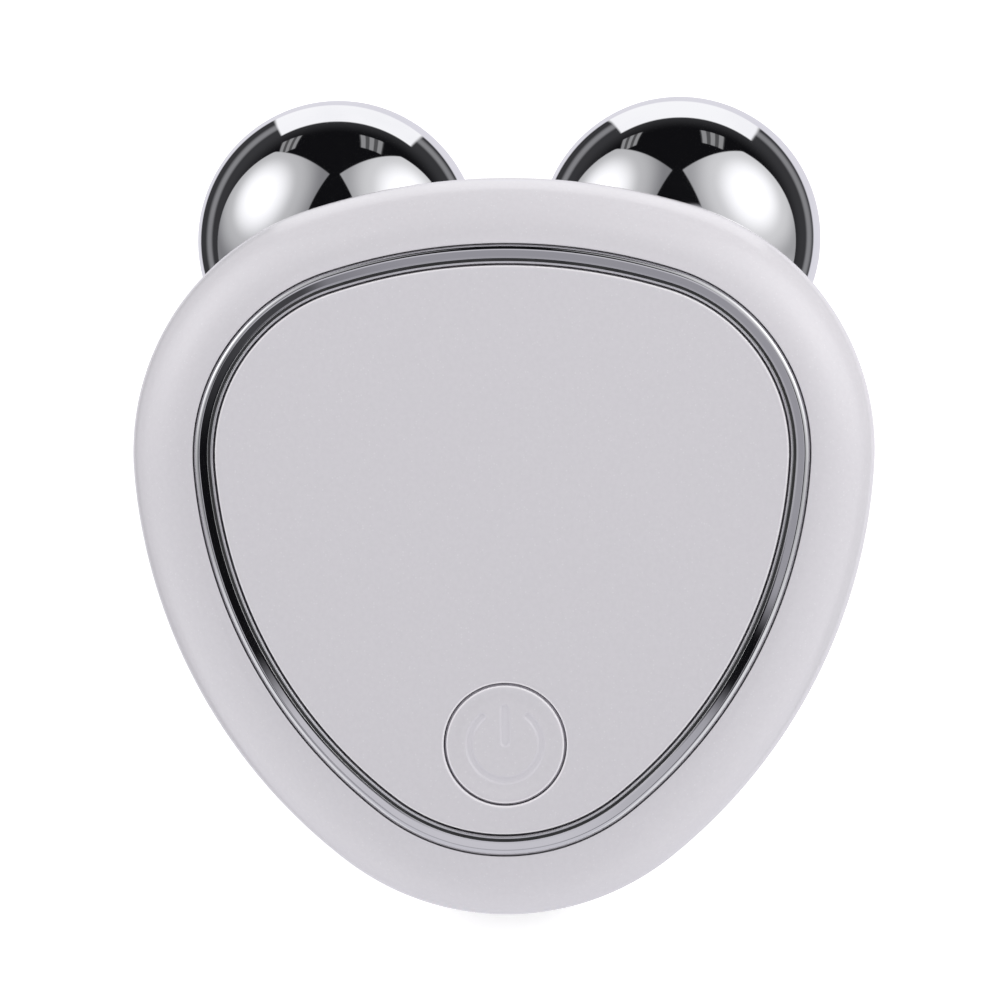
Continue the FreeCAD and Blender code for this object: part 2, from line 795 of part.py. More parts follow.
def case_nodes():
    """Every piece that stays put in the case, in the case's own frame."""
    small_head = (small_screw_head_diameter, small_screw_head_height)
    case_sizes = (screw_diameter, screw_length, screw_head_diameter, screw_head_height)
    board_sizes = (small_screw_diameter, small_screw_length, *small_head)
    bracket_sizes = (small_screw_diameter, bracket_screw_length, *small_head)
    return {
        "front_shell": front_shell(),
        "back_shell": back_shell(),
        "trim_ring": trim_ring(),
        "front_panel": front_panel(),
        "power_button": power_button(),
        "symbol_light_guide": symbol_light_guide(),
        "tact_switch_body": tact_switch_body(),
        "tact_switch_plunger": tact_switch_plunger(),
        "circuit_board": circuit_board(),
        "indicator_led": on_board(led_length, led_width, led_height, led_offset_x, button_y),
        "controller_chip": on_board(controller_length, controller_width, chip_height,
                                    controller_x, controller_y),
        "charging_chip": on_board(charger_side, charger_side, chip_height, charger_x, charger_y),
        "inductor": inductor(),
        "charging_socket": charging_socket(),
        "socket_tongue": socket_tongue(),
        "battery": battery(),
        "battery_pad": battery_pad(),
        "battery_lead_positive": battery_lead(lead_x - lead_spacing / 2),
        "battery_lead_negative": battery_lead(lead_x + lead_spacing / 2),
        "roller_bracket": roller_bracket(),
        "ring_contact_pin": ring_contact_pin(),
        "case_screws": screw_set(case_screw_places(), screw_seat_z, True, case_sizes),
        "board_screws": screw_set(board_screw_places(), board_bottom_z, True, board_sizes),
        "bracket_screws": screw_set(bracket_screw_places(), bracket_top_z, False, bracket_sizes),
    }


def roller_nodes():
    """The pieces of both rollers, in the case's own frame."""
    about_axle = {
        "roller_ball": roller_ball(),
        "ball_cap": ball_cap(),
        "ball_bush": ball_bush(),
        "axle_screw": axle_screw(),
        "thrust_washer": thrust_washer(),
        "axle_insert": axle_insert(),
    }
    nodes = {}
    for name, side in SIDES.items():
        for piece, shape in about_axle.items():
            nodes[name + "_" + piece] = on_axle(side, shape)
        nodes[name + "_neck_collar"] = neck_collar(side)
        nodes[name + "_roller_contact"] = roller_contact(side)
    return nodes


def rest_tilt():
    """Angle in degrees by which the case leans when it lies on its balls and the tail of its dome."""
    ball = ball_centre(1)
    low, high = 0.0, math.pi / 3
    for _ in range(60):
        tilt = (low + high) / 2
        sine, cosine = math.sin(tilt), math.cos(tilt)
        under_ball = ball.y * sine + ball.z * cosine - ball_radius
        under_tail = (tail_y + dome_run) * sine - math.hypot(dome_run * sine, dome_depth * cosine)
        low, high = (tilt, high) if under_ball < under_tail else (low, tilt)
    return math.degrees(tilt)


def rest_placement(nodes):
    """Lays the case down on a table at Z = 0, with the middle of its plan at the origin."""
    turned = Placement(Vector(), Rotation(X_AXIS, rest_tilt()))
    seen = Part.makeCompound([nodes[name] for name in ("front_shell", "back_shell", "left_roller_ball")])
    seen.Placement = turned
    box = seen.optimalBoundingBox(False, False)
    ball = turned.multVec(ball_centre(1))
    return Placement(Vector(0, -(box.YMin + box.YMax) / 2, ball_radius - ball.z), turned.Rotation)


def main():
    """Builds every piece, lays the assembly down and writes one file per piece."""
    nodes = {**case_nodes(), **roller_nodes()}
    placement = rest_placement(nodes)
    os.makedirs("parts", exist_ok=True)
    for name, shape in nodes.items():
        placed = shape.copy()
        placed.Placement = placement.multiply(placed.Placement)
        placed.exportStep("parts/" + name + ".step")


main()
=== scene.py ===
"""Looks of a facial roller.

A palm-sized pearl-white case carries a chrome trim ring round its flat front panel, a power button with a
symbol sunk in its face, and two polished balls that turn on slanted axles behind its wide end.

Each piece is drawn in millimetres in the case's own axes (X to the right, Y towards the balls, Z out of the
front panel, Z = 0 at the joint of the two shells) or about its own axis, and is then laid in place in metres.
"""

import json
import logging
import math
from dataclasses import dataclass
from enum import Enum
from typing import Any, Callable, Sequence

import bpy
from mathutils import Matrix, Vector


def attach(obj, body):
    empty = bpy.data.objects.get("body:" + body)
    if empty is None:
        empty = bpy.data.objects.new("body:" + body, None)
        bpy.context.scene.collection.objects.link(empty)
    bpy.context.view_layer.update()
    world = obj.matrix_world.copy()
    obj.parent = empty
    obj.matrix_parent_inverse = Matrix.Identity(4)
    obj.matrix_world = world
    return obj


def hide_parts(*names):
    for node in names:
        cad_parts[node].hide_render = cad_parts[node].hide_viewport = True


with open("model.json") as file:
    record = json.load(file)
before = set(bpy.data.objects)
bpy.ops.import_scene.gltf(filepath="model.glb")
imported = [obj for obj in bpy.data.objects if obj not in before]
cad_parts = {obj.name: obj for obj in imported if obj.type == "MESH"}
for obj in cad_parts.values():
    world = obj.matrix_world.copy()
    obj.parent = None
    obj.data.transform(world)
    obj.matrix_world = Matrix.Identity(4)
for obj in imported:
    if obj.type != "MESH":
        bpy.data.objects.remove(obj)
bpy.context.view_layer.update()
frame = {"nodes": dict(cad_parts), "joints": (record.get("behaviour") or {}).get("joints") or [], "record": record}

log = logging.getLogger("facial_roller")

Colour = tuple[float, float, float]
Direction = tuple[float, float, float]
Span = tuple[float, float]

METRES_PER_MM = 0.001
MERGE_MM = 0.001
SAME_PLACE_MM = 0.002
SMOOTH_ANGLE = math.radians(40.0)
SHARP_ANGLE = math.radians(28.0)
FULL_TURN = 2 * math.pi
HALF_TURN = math.pi
QUARTER_TURN = math.pi / 2
UP = Vector((0.0, 0.0, 1.0))
ORIGIN = Vector((0.0, 0.0, 0.0))
WHITE: Colour = (1.0, 1.0, 1.0)
NOISE_SPAN: Span = (0.3, 0.7)
NOISE_MIDDLE = 0.5

# Numbers of the Mix node's sockets for colours
MIX_SHARE = 0
MIX_FIRST = 6
MIX_SECOND = 7
MIX_RESULT = 2


class Slot(Enum):
    """The record's material slots."""

    PEARL = "pearl_white"
    SYMBOL = "symbol_white"
    CHROME = "chrome"
    BRASS = "brass"
    STEEL = "steel"
    BLACK_PLASTIC = "black_plastic"
    PLUNGER = "switch_plunger"
    BOARD = "board_green"
    LED = "led_lens"
    FRAME = "inner_frame"
    FOIL = "cell_foil"
    FOAM = "foam"
    LEAD_RED = "lead_red"
    LEAD_BLACK = "lead_black"


class Side(Enum):
    """The two sides of the case, as the sign of X."""

    LEFT = -1
    RIGHT = 1

    @property
    def label(self) -> str:
        """The side's name as the nodes and bodies spell it."""
        return self.name.lower()


class Detail(Enum):
    """How finely a noise is broken up, as its octaves."""

    SOFT = 1.0
    PLAIN = 2.0
    MIXED = 3.0
    FINE = 4.0


# Modelling bench


@dataclass(frozen=True)
class Turn:
    """A leg of a route: the section turns about an upright axis, anticlockwise for a positive angle."""

    centre: Vector
    angle: float


@dataclass(frozen=True)
class Run:
    """A leg of a route: the section moves straight along a step."""

    step: Vector


Route = Sequence[Turn | Run]


def deselect_all() -> None:
    """Leaves edit mode and deselects every object."""
    if bpy.context.mode != "OBJECT":
        bpy.ops.object.mode_set(mode="OBJECT")
    bpy.ops.object.select_all(action="DESELECT")


def take(obj: bpy.types.Object) -> None:
    """Makes one object the only selected one, and the active one.

    Args:
        obj: The object.
    """
    deselect_all()
    obj.select_set(True)
    bpy.context.view_layer.objects.active = obj


def edit(obj: bpy.types.Object) -> None:
    """Takes an object into edit mode with all of its mesh selected.

    Args:
        obj: The object.
    """
    take(obj)
    bpy.ops.object.mode_set(mode="EDIT")
    bpy.ops.mesh.select_all(action="SELECT")


def draw_path(name: str, points: Sequence[Vector]) -> bpy.types.Object:
    """Draws an open run of edges, by extruding one vertex from point to point.

    Args:
        name: The new object's name.
        points: The run's points, in millimetres.

    Returns:
        The new object, in edit mode with the whole run selected.
    """
    deselect_all()
    bpy.ops.mesh.primitive_plane_add(size=1.0, location=ORIGIN)
    obj = bpy.context.object
    obj.name = name
    obj.data.name = name
    edit(obj)
    bpy.ops.mesh.merge(type="CENTER")
    bpy.ops.transform.translate(value=points[0])
    for here, there in zip(points, points[1:]):
        bpy.ops.mesh.extrude_vertices_move(TRANSFORM_OT_translate={"value": there - here})
    bpy.ops.mesh.select_all(action="SELECT")
    return obj


def carry(route: Route, step_angle: float) -> None:
    """Carries the selected section along a route, leaving a skin behind it.

    Args:
        route: The legs, one after another.
        step_angle: The largest turn of one face, in radians.
    """
    for leg in route:
        if isinstance(leg, Turn):
            steps = max(1, round(abs(leg.angle) / step_angle))
            bpy.ops.mesh.spin(steps=steps, angle=-leg.angle, center=leg.centre, axis=UP)
        else:
            bpy.ops.mesh.extrude_region_move(TRANSFORM_OT_translate={"value": leg.step})


def weld(obj: bpy.types.Object) -> bpy.types.Object:
    """Merges doubled vertices, points every face outwards and leaves edit mode.

    Args:
        obj: The object whose mesh is welded.

    Returns:
        The same object.
    """
    edit(obj)
    bpy.ops.mesh.remove_doubles(threshold=MERGE_MM)
    bpy.ops.mesh.normals_make_consistent(inside=False)
    bpy.ops.object.mode_set(mode="OBJECT")
    return obj


def join(first: bpy.types.Object, *others: bpy.types.Object) -> bpy.types.Object:
    """Joins other objects into the first one.

    Args:
        first: The object that stays.
        others: The objects that become part of it.

    Returns:
        The first object.
    """
    take(first)
    for other in others:
        other.select_set(True)
    bpy.ops.object.join()
    return first


def fill_rims(obj: bpy.types.Object, height: float) -> None:
    """Fills the flat opening between all the open rims that lie at one height.

    Args:
        obj: The object whose mesh is filled.
        height: The rims' Z, in millimetres.
    """
    edit(obj)
    bpy.ops.mesh.select_all(action="DESELECT")
    bpy.ops.mesh.select_mode(type="EDGE")
    bpy.ops.object.mode_set(mode="OBJECT")
    mesh = obj.data
    uses = [0] * len(mesh.edges)
    for loop in mesh.loops:
        uses[loop.edge_index] += 1
    for edge, count in zip(mesh.edges, uses):
        ends = [mesh.vertices[index].co.z for index in edge.vertices]
        edge.select = count < 2 and all(abs(z - height) < SAME_PLACE_MM for z in ends)
    bpy.ops.object.mode_set(mode="EDIT")
    bpy.ops.mesh.fill(use_beauty=True)
    bpy.ops.mesh.select_mode(type="VERT")
    bpy.ops.object.mode_set(mode="OBJECT")


def round_edges(obj: bpy.types.Object, width: float, segments: int, angle: float = SHARP_ANGLE) -> None:
    """Rounds every edge that is sharper than an angle.

    Args:
        obj: The object whose edges are rounded.
        width: How far the rounding reaches along each face, in millimetres.
        segments: How many faces the rounding has.
        angle: The smallest angle between faces that is rounded, in radians.
    """
    take(obj)
    bpy.ops.object.modifier_add(type="BEVEL")
    rounding = obj.modifiers[-1]
    rounding.width = width
    rounding.segments = segments
    rounding.limit_method = "ANGLE"
    rounding.angle_limit = angle
    rounding.use_clamp_overlap = True
    bpy.ops.object.modifier_apply(modifier=rounding.name)


def mark_edge(obj: bpy.types.Object, depth_at: Callable[[Vector], float]) -> None:
    """Marks how deep each vertex lies in a rounded edge, where the pearl finish paints a highlight.

    Args:
        obj: The piece, drawn in millimetres.
        depth_at: From a place to its depth, 0 where the rounding starts and 1 where it ends.
    """
    depths = [depth_at(vertex.co) for vertex in obj.data.vertices]
    marks = [depth if 0.0 < depth < 1.0 + MERGE_MM else 0.0 for depth in depths]
    obj.data.attributes.new("edge", "FLOAT", "POINT").data.foreach_set("value", marks)


def held(points: Sequence[Vector], hold: float) -> list[Vector]:
    """Adds a point near both ends of each long stretch of a profile, so that smooth shading leaves it flat.

    Args:
        points: The profile's points.
        hold: How far from the ends the new points lie, in millimetres. A stretch over three times that is
            long.

    Returns:
        The profile with the new points.
    """
    result = [points[0]]
    for here, there in zip(points, points[1:]):
        step = (there - here).normalized() * hold
        if (there - here).length > 3 * hold:
            result += [here + step, there - step]
        result.append(there)
    return result


def lay(obj: bpy.types.Object, place: Matrix) -> None:
    """Lays a drawn piece in its place, with the place in its mesh, and shades it smooth.

    Args:
        obj: The piece, drawn in millimetres.
        place: From the piece's drawing axes to the object's frame, in metres.
    """
    take(obj)
    obj.matrix_world = place
    bpy.ops.object.transform_apply(location=True, rotation=True, scale=True)
    bpy.ops.object.shade_smooth_by_angle(angle=SMOOTH_ANGLE)


def seat(obj: bpy.types.Object, body: str, slot: Slot, *nodes: str) -> None:
    """Puts a finished piece on its body, with its finish, in place of the nodes it stands for.

    Args:
        obj: The finished piece.
        body: The body that it moves with.
        slot: Its material slot.
        nodes: The nodes that it replaces.
    """
    obj.data.materials.clear()
    obj.data.materials.append(material_for(slot))
    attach(obj, body)
    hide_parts(*nodes)
    log.info("%s: %d faces on %s, for %s", obj.name, len(obj.data.polygons), body, ", ".join(nodes))


def arc(centre: Vector, radius: float, start: float, end: float, steps: int) -> list[Vector]:
    """Points of an arc in the XZ plane, with both ends.

    Args:
        centre: The arc's centre.
        radius: Its radius.
        start: The first point's angle from +X towards +Z, in radians.
        end: The last point's angle.
        steps: How many chords it has.

    Returns:
        The points, from start to end.
    """
    angles = [start + (end - start) * step / steps for step in range(steps + 1)]
    return [centre + Vector((math.cos(angle), 0.0, math.sin(angle))) * radius for angle in angles]


def section(*points: tuple[float, float]) -> list[Vector]:
    """Points of a profile in the XZ plane, from pairs of X and Z."""
    return [Vector((x, 0.0, z)) for x, z in points]


# Finishes


class Wire:
    """A shader value that takes part in Python expressions: each operation adds a Math node."""

    def __init__(self, sheet: "NodeSheet", socket: bpy.types.NodeSocket) -> None:
        """Wraps an output socket of a sheet's node tree."""
        self.sheet = sheet
        self.socket = socket

    def _math(self, operation: str, first: "Wire | float", second: "Wire | float") -> "Wire":
        """Adds one Math node."""
        return self.sheet.add("ShaderNodeMath", {"operation": operation}, {0: first, 1: second})

    def __add__(self, other: "Wire | float") -> "Wire":
        """self + other."""
        return self._math("ADD", self, other)

    def __radd__(self, other: float) -> "Wire":
        """other + self."""
        return self._math("ADD", other, self)

    def __sub__(self, other: "Wire | float") -> "Wire":
        """self - other."""
        return self._math("SUBTRACT", self, other)

    def __rsub__(self, other: float) -> "Wire":
        """other - self."""
        return self._math("SUBTRACT", other, self)

    def __mul__(self, other: "Wire | float") -> "Wire":
        """self * other."""
        return self._math("MULTIPLY", self, other)

    def __rmul__(self, other: float) -> "Wire":
        """other * self."""
        return self._math("MULTIPLY", other, self)

    def __neg__(self) -> "Wire":
        """-self."""
        return self._math("MULTIPLY", self, -1.0)

    def size(self) -> "Wire":
        """The value without its sign."""
        return self._math("ABSOLUTE", self, 0.0)

    def cosine(self) -> "Wire":
        """The cosine of an angle in radians."""
        return self._math("COSINE", self, 0.0)

    def larger(self, other: "Wire | float") -> "Wire":
        """The larger of two values."""
        return self._math("MAXIMUM", self, other)

    def ramp(self, low: float, high: float) -> "Wire":
        """A smooth step from 0 at low to 1 at high."""
        inputs = {"Value": self, "From Min": low, "From Max": high}
        return self.sheet.add("ShaderNodeMapRange", {"interpolation_type": "SMOOTHSTEP"}, inputs)


class NodeSheet:
    """A material's or the world's node tree, emptied and ready to be written on."""

    def __init__(self, owner: bpy.types.Material | bpy.types.World) -> None:
        """Empties the owner's tree and adds its output node.

        Args:
            owner: The material or the world.
        """
        owner.use_nodes = True
        self.tree = owner.node_tree
        self.tree.nodes.clear()
        is_world = isinstance(owner, bpy.types.World)
        kind = "ShaderNodeOutputWorld" if is_world else "ShaderNodeOutputMaterial"
        self.output = self.tree.nodes.new(kind)

    def add(self, kind: str, settings: dict[str, Any] | None = None,
            inputs: dict[str | int, Any] | None = None, output: str | int = 0) -> Wire:
        """Adds a node.

        Args:
            kind: The node's type.
            settings: Its properties, set first.
            inputs: Its sockets by name or number, each a wire or a constant.
            output: The output that is wanted.

        Returns:
            The wanted output.
        """
        node = self.tree.nodes.new(kind)
        for name, value in (settings or {}).items():
            setattr(node, name, value)
        for name, value in (inputs or {}).items():
            socket = node.inputs[name]
            if isinstance(value, Wire):
                self.tree.links.new(value.socket, socket)
            elif socket.type == "RGBA":
                socket.default_value = (*value, 1.0)
            else:
                socket.default_value = value
        return Wire(self, node.outputs[output])

    def coordinates(self) -> Wire:
        """The place on the piece, in metres in the object's frame."""
        return self.add("ShaderNodeTexCoord", output="Object")

    def noise(self, place: Wire, grain: float, detail: Detail = Detail.PLAIN) -> Wire:
        """A cloudy value from 0 to 1 whose grain is a size in millimetres."""
        scale = 1.0 / (grain * METRES_PER_MM)
        return self.add("ShaderNodeTexNoise", None, {"Vector": place, "Scale": scale, "Detail": detail.value})

    def blend(self, share: Wire | float, first: Wire | Colour, second: Wire | Colour) -> Wire:
        """A colour between two colours."""
        inputs = {MIX_SHARE: share, MIX_FIRST: first, MIX_SECOND: second}
        return self.add("ShaderNodeMix", {"data_type": "RGBA"}, inputs, MIX_RESULT)

    def edge(self) -> Wire:
        """The mark that mark_edge leaves on a piece, or 0 where it left none."""
        return self.add("ShaderNodeAttribute", {"attribute_name": "edge"}, None, "Fac")

    def bump(self, height: Wire, depth: float, strength: float) -> Wire:
        """A normal from a height whose full range is a depth in millimetres."""
        inputs = {"Height": height, "Distance": depth * METRES_PER_MM, "Strength": strength}
        return self.add("ShaderNodeBump", None, inputs)

    def finish(self, shader: Wire) -> None:
        """Makes a shader the surface."""
        self.tree.links.new(shader.socket, self.output.inputs["Surface"])


@dataclass(frozen=True)
class PearlFinish:
    """Satin pearl-white plastic: a faint lilac cloud, mica flakes, a clear coat, and a highlight painted paler on
    the rounded edges of panel and button cap.
    """

    light: Colour = (0.645, 0.627, 0.672)
    dark: Colour = (0.628, 0.610, 0.655)
    flake: Colour = (0.82, 0.81, 0.85)
    # Painted highlight: the pale tone that the rounded edges of panel and button cap are painted towards
    edge: Colour = (0.90, 0.88, 0.92)
    edge_fade: Span = (0.0, 0.35)
    cloud_grain: float = 0.35
    flake_grain: float = 0.20
    flake_share: Span = (0.82, 1.0)
    flake_core: Span = (0.55, 0.95)
    flake_strength: float = 0.55
    flake_gloss: float = 0.12
    roughness: float = 0.36
    roughness_change: float = 0.08
    peel_grain: float = 0.35
    peel_depth: float = 0.0012
    peel_relief: float = 0.6
    coat: float = 0.7
    coat_roughness: float = 0.14

    def draw(self, sheet: NodeSheet) -> Wire:
        """Draws the finish.

        Args:
            sheet: The material's sheet.

        Returns:
            The finish's shader.
        """
        place = sheet.coordinates()
        cloud = sheet.noise(place, self.cloud_grain, Detail.FINE)
        cell = {"Vector": place, "Scale": 1.0 / (self.flake_grain * METRES_PER_MM)}
        cell_colour = sheet.add("ShaderNodeTexVoronoi", None, cell, "Color")
        chance = sheet.add("ShaderNodeSeparateColor", None, {"Color": cell_colour})
        nearness = 1.0 - sheet.add("ShaderNodeTexVoronoi", None, cell, "Distance")
        flakes = chance.ramp(*self.flake_share) * nearness.ramp(*self.flake_core)
        body = sheet.blend(cloud.ramp(*NOISE_SPAN), self.dark, self.light)
        sparkling = sheet.blend(flakes * self.flake_strength, body, self.flake)
        peel = sheet.noise(place, self.peel_grain, Detail.SOFT)
        matt = self.roughness + self.roughness_change * (cloud - NOISE_MIDDLE)
        return sheet.add("ShaderNodeBsdfPrincipled", None, {
            # Painted highlight: where mark_edge marked a rounded edge, the colour is blended towards the pale edge
            # tone
            "Base Color": sheet.blend(sheet.edge().ramp(*self.edge_fade), sparkling, self.edge),
            "Roughness": matt - self.flake_gloss * flakes,
            "Normal": sheet.bump(peel, self.peel_depth, self.peel_relief),
            "Coat Weight": self.coat,
            "Coat Roughness": self.coat_roughness,
        })


@dataclass(frozen=True)
class SymbolFinish:
    """Frosted plastic over the button's lamp, slightly cooler than the pearl round it."""

    light: Colour = (0.668, 0.650, 0.703)
    dark: Colour = (0.646, 0.628, 0.681)
    grain: float = 0.25
    roughness: float = 0.36
    roughness_change: float = 0.12
    coat: float = 0.6
    coat_roughness: float = 0.16

    def draw(self, sheet: NodeSheet) -> Wire:
        """Draws the finish.

        Args:
            sheet: The material's sheet.

        Returns:
            The finish's shader.
        """
        frost = sheet.noise(sheet.coordinates(), self.grain, Detail.MIXED)
        return sheet.add("ShaderNodeBsdfPrincipled", None, {
            "Base Color": sheet.blend(frost, self.dark, self.light),
            "Roughness": self.roughness + self.roughness_change * frost,
            "Coat Weight": self.coat,
            "Coat Roughness": self.coat_roughness,
        })


@dataclass(frozen=True)
class MetalFinish:
    """Metal with faint smudges, and fine turning marks where it isn't polished."""

    tone: Colour
    shade: Colour
    roughness: float
    smudge: float
    smudge_grain: float
    smudge_span: Span = (0.35, 0.75)
    mark_grain: float = 0.06
    mark_depth: float = 0.0
    mark_relief: float = 0.5

    def draw(self, sheet: NodeSheet) -> Wire:
        """Draws the finish.

        Args:
            sheet: The material's sheet.

        Returns:
            The finish's shader.
        """
        place = sheet.coordinates()
        cloud = sheet.noise(place, self.smudge_grain, Detail.MIXED).ramp(*self.smudge_span)
        inputs = {
            "Base Color": sheet.blend(cloud, self.tone, self.shade),
            "Metallic": 1.0,
            "Roughness": self.roughness + self.smudge * cloud,
        }
        if self.mark_depth:
            marks = sheet.noise(place, self.mark_grain)
            inputs["Normal"] = sheet.bump(marks, self.mark_depth, self.mark_relief)
        return sheet.add("ShaderNodeBsdfPrincipled", None, inputs)


@dataclass(frozen=True)
class MouldedFinish:
    """Moulded plastic with a fine spark-eroded grain, and patches that are a few grains across."""

    tone: Colour
    shade: Colour
    roughness: float = 0.48
    roughness_change: float = 0.14
    grain: float = 0.12
    grain_depth: float = 0.004
    grain_relief: float = 0.6
    patch_grains: float = 12.0

    def draw(self, sheet: NodeSheet) -> Wire:
        """Draws the finish.

        Args:
            sheet: The material's sheet.

        Returns:
            The finish's shader.
        """
        place = sheet.coordinates()
        grain = sheet.noise(place, self.grain)
        patch = sheet.noise(place, self.grain * self.patch_grains, Detail.MIXED)
        return sheet.add("ShaderNodeBsdfPrincipled", None, {
            "Base Color": sheet.blend(patch.ramp(*NOISE_SPAN), self.tone, self.shade),
            "Roughness": self.roughness + self.roughness_change * (grain - NOISE_MIDDLE),
            "Normal": sheet.bump(grain, self.grain_depth, self.grain_relief),
        })


@dataclass(frozen=True)
class BoardFinish:
    """Solder mask over copper tracks on a glass-fibre board; lengths beside the pitch are shares of it."""

    mask: Colour = (0.010, 0.115, 0.045)
    track: Colour = (0.030, 0.205, 0.085)
    track_pitch: float = 1.1
    track_gap: float = 0.12
    track_length: float = 2.6
    track_row: float = 0.8
    track_offset: float = 0.5
    track_depth: float = 0.02
    track_relief: float = 0.5
    weave_grain: float = 0.3
    weave_height: float = 0.2
    roughness: float = 0.30
    roughness_change: float = 0.15

    def draw(self, sheet: NodeSheet) -> Wire:
        """Draws the finish.

        Args:
            sheet: The material's sheet.

        Returns:
            The finish's shader.
        """
        place = sheet.coordinates()
        tracks = sheet.add("ShaderNodeTexBrick", {"offset": self.track_offset}, {
            "Vector": place,
            "Scale": 1.0 / (self.track_pitch * METRES_PER_MM),
            "Mortar Size": self.track_gap,
            "Brick Width": self.track_length,
            "Row Height": self.track_row,
        }, "Fac")
        weave = sheet.noise(place, self.weave_grain)
        height = tracks + self.weave_height * weave
        return sheet.add("ShaderNodeBsdfPrincipled", None, {
            "Base Color": sheet.blend(tracks, self.mask, self.track),
            "Roughness": self.roughness + self.roughness_change * weave,
            "Normal": sheet.bump(height, self.track_depth, self.track_relief),
        })


@dataclass(frozen=True)
class FoilFinish:
    """Wrinkled aluminium pouch of the cell."""

    tone: Colour = (0.62, 0.63, 0.65)
    shade: Colour = (0.48, 0.49, 0.51)
    wrinkle_grain: float = 2.2
    wrinkle_depth: float = 0.08
    wrinkle_relief: float = 0.6
    metallic: float = 0.85
    roughness: float = 0.32
    roughness_change: float = 0.2

    def draw(self, sheet: NodeSheet) -> Wire:
        """Draws the finish.

        Args:
            sheet: The material's sheet.

        Returns:
            The finish's shader.
        """
        wrinkles = sheet.noise(sheet.coordinates(), self.wrinkle_grain, Detail.FINE)
        return sheet.add("ShaderNodeBsdfPrincipled", None, {
            "Base Color": sheet.blend(wrinkles.ramp(*NOISE_SPAN), self.shade, self.tone),
            "Metallic": self.metallic,
            "Roughness": self.roughness + self.roughness_change * wrinkles,
            "Normal": sheet.bump(wrinkles, self.wrinkle_depth, self.wrinkle_relief),
        })


@dataclass(frozen=True)
class FoamFinish:
    """Open-cell foam."""

    tone: Colour = (0.070, 0.070, 0.075)
    pore: Colour = (0.018, 0.018, 0.020)
    pore_size: float = 0.35
    wall_span: Span = (0.15, 0.6)
    wall_depth: float = 0.1
    wall_relief: float = 0.8
    roughness: float = 0.85
    roughness_change: float = 0.1

    def draw(self, sheet: NodeSheet) -> Wire:
        """Draws the finish.

        Args:
            sheet: The material's sheet.

        Returns:
            The finish's shader.
        """
        cell = {"Vector": sheet.coordinates(), "Scale": 1.0 / (self.pore_size * METRES_PER_MM)}
        wall = sheet.add("ShaderNodeTexVoronoi", None, cell, "Distance").ramp(*self.wall_span)
        return sheet.add("ShaderNodeBsdfPrincipled", None, {
            "Base Color": sheet.blend(wall, self.pore, self.tone),
            "Roughness": self.roughness + self.roughness_change * wall,
            "Normal": sheet.bump(wall, self.wall_depth, self.wall_relief),
        })


Finish = PearlFinish | SymbolFinish | MetalFinish | MouldedFinish | BoardFinish | FoilFinish | FoamFinish

FINISHES: dict[Slot, Finish] = {
    Slot.PEARL: PearlFinish(),
    Slot.SYMBOL: SymbolFinish(),
    Slot.CHROME: MetalFinish(
        tone=(0.93, 0.93, 0.945), shade=(0.89, 0.89, 0.91), roughness=0.025, smudge=0.03, smudge_grain=6.0),
    Slot.BRASS: MetalFinish(
        tone=(0.78, 0.57, 0.26), shade=(0.62, 0.43, 0.18), roughness=0.26, smudge=0.12, smudge_grain=1.2,
        mark_depth=0.003),
    Slot.STEEL: MetalFinish(
        tone=(0.66, 0.66, 0.68), shade=(0.52, 0.52, 0.54), roughness=0.24, smudge=0.14, smudge_grain=1.0,
        mark_depth=0.003),
    Slot.BLACK_PLASTIC: MouldedFinish(tone=(0.020, 0.020, 0.022), shade=(0.030, 0.030, 0.033)),
    Slot.PLUNGER: MouldedFinish(tone=(0.55, 0.54, 0.50), shade=(0.48, 0.47, 0.44), roughness=0.40),
    Slot.BOARD: BoardFinish(),
    Slot.LED: MouldedFinish(
        tone=(0.80, 0.78, 0.60), shade=(0.72, 0.69, 0.50), roughness=0.28, grain=0.2, grain_depth=0.001),
    Slot.FRAME: MouldedFinish(tone=(0.46, 0.46, 0.47), shade=(0.40, 0.40, 0.41), roughness=0.50),
    Slot.FOIL: FoilFinish(),
    Slot.FOAM: FoamFinish(),
    Slot.LEAD_RED: MouldedFinish(
        tone=(0.46, 0.020, 0.018), shade=(0.38, 0.014, 0.014), roughness=0.42, grain=0.2, grain_depth=0.002),
    Slot.LEAD_BLACK: MouldedFinish(
        tone=(0.016, 0.016, 0.017), shade=(0.024, 0.024, 0.026), roughness=0.42, grain=0.2,
        grain_depth=0.002),
}
MATERIALS: dict[Slot, bpy.types.Material] = {}


def material_for(slot: Slot) -> bpy.types.Material:
    """The material of a slot, drawn the first time it is asked for.

    Args:
        slot: The slot.

    Returns:
        Its material.
    """
    if slot not in MATERIALS:
        material = bpy.data.materials.new(slot.value + "_finish")
        sheet = NodeSheet(material)
        sheet.finish(FINISHES[slot].draw(sheet))
        MATERIALS[slot] = material
    return MATERIALS[slot]


# Shared sizes of the case


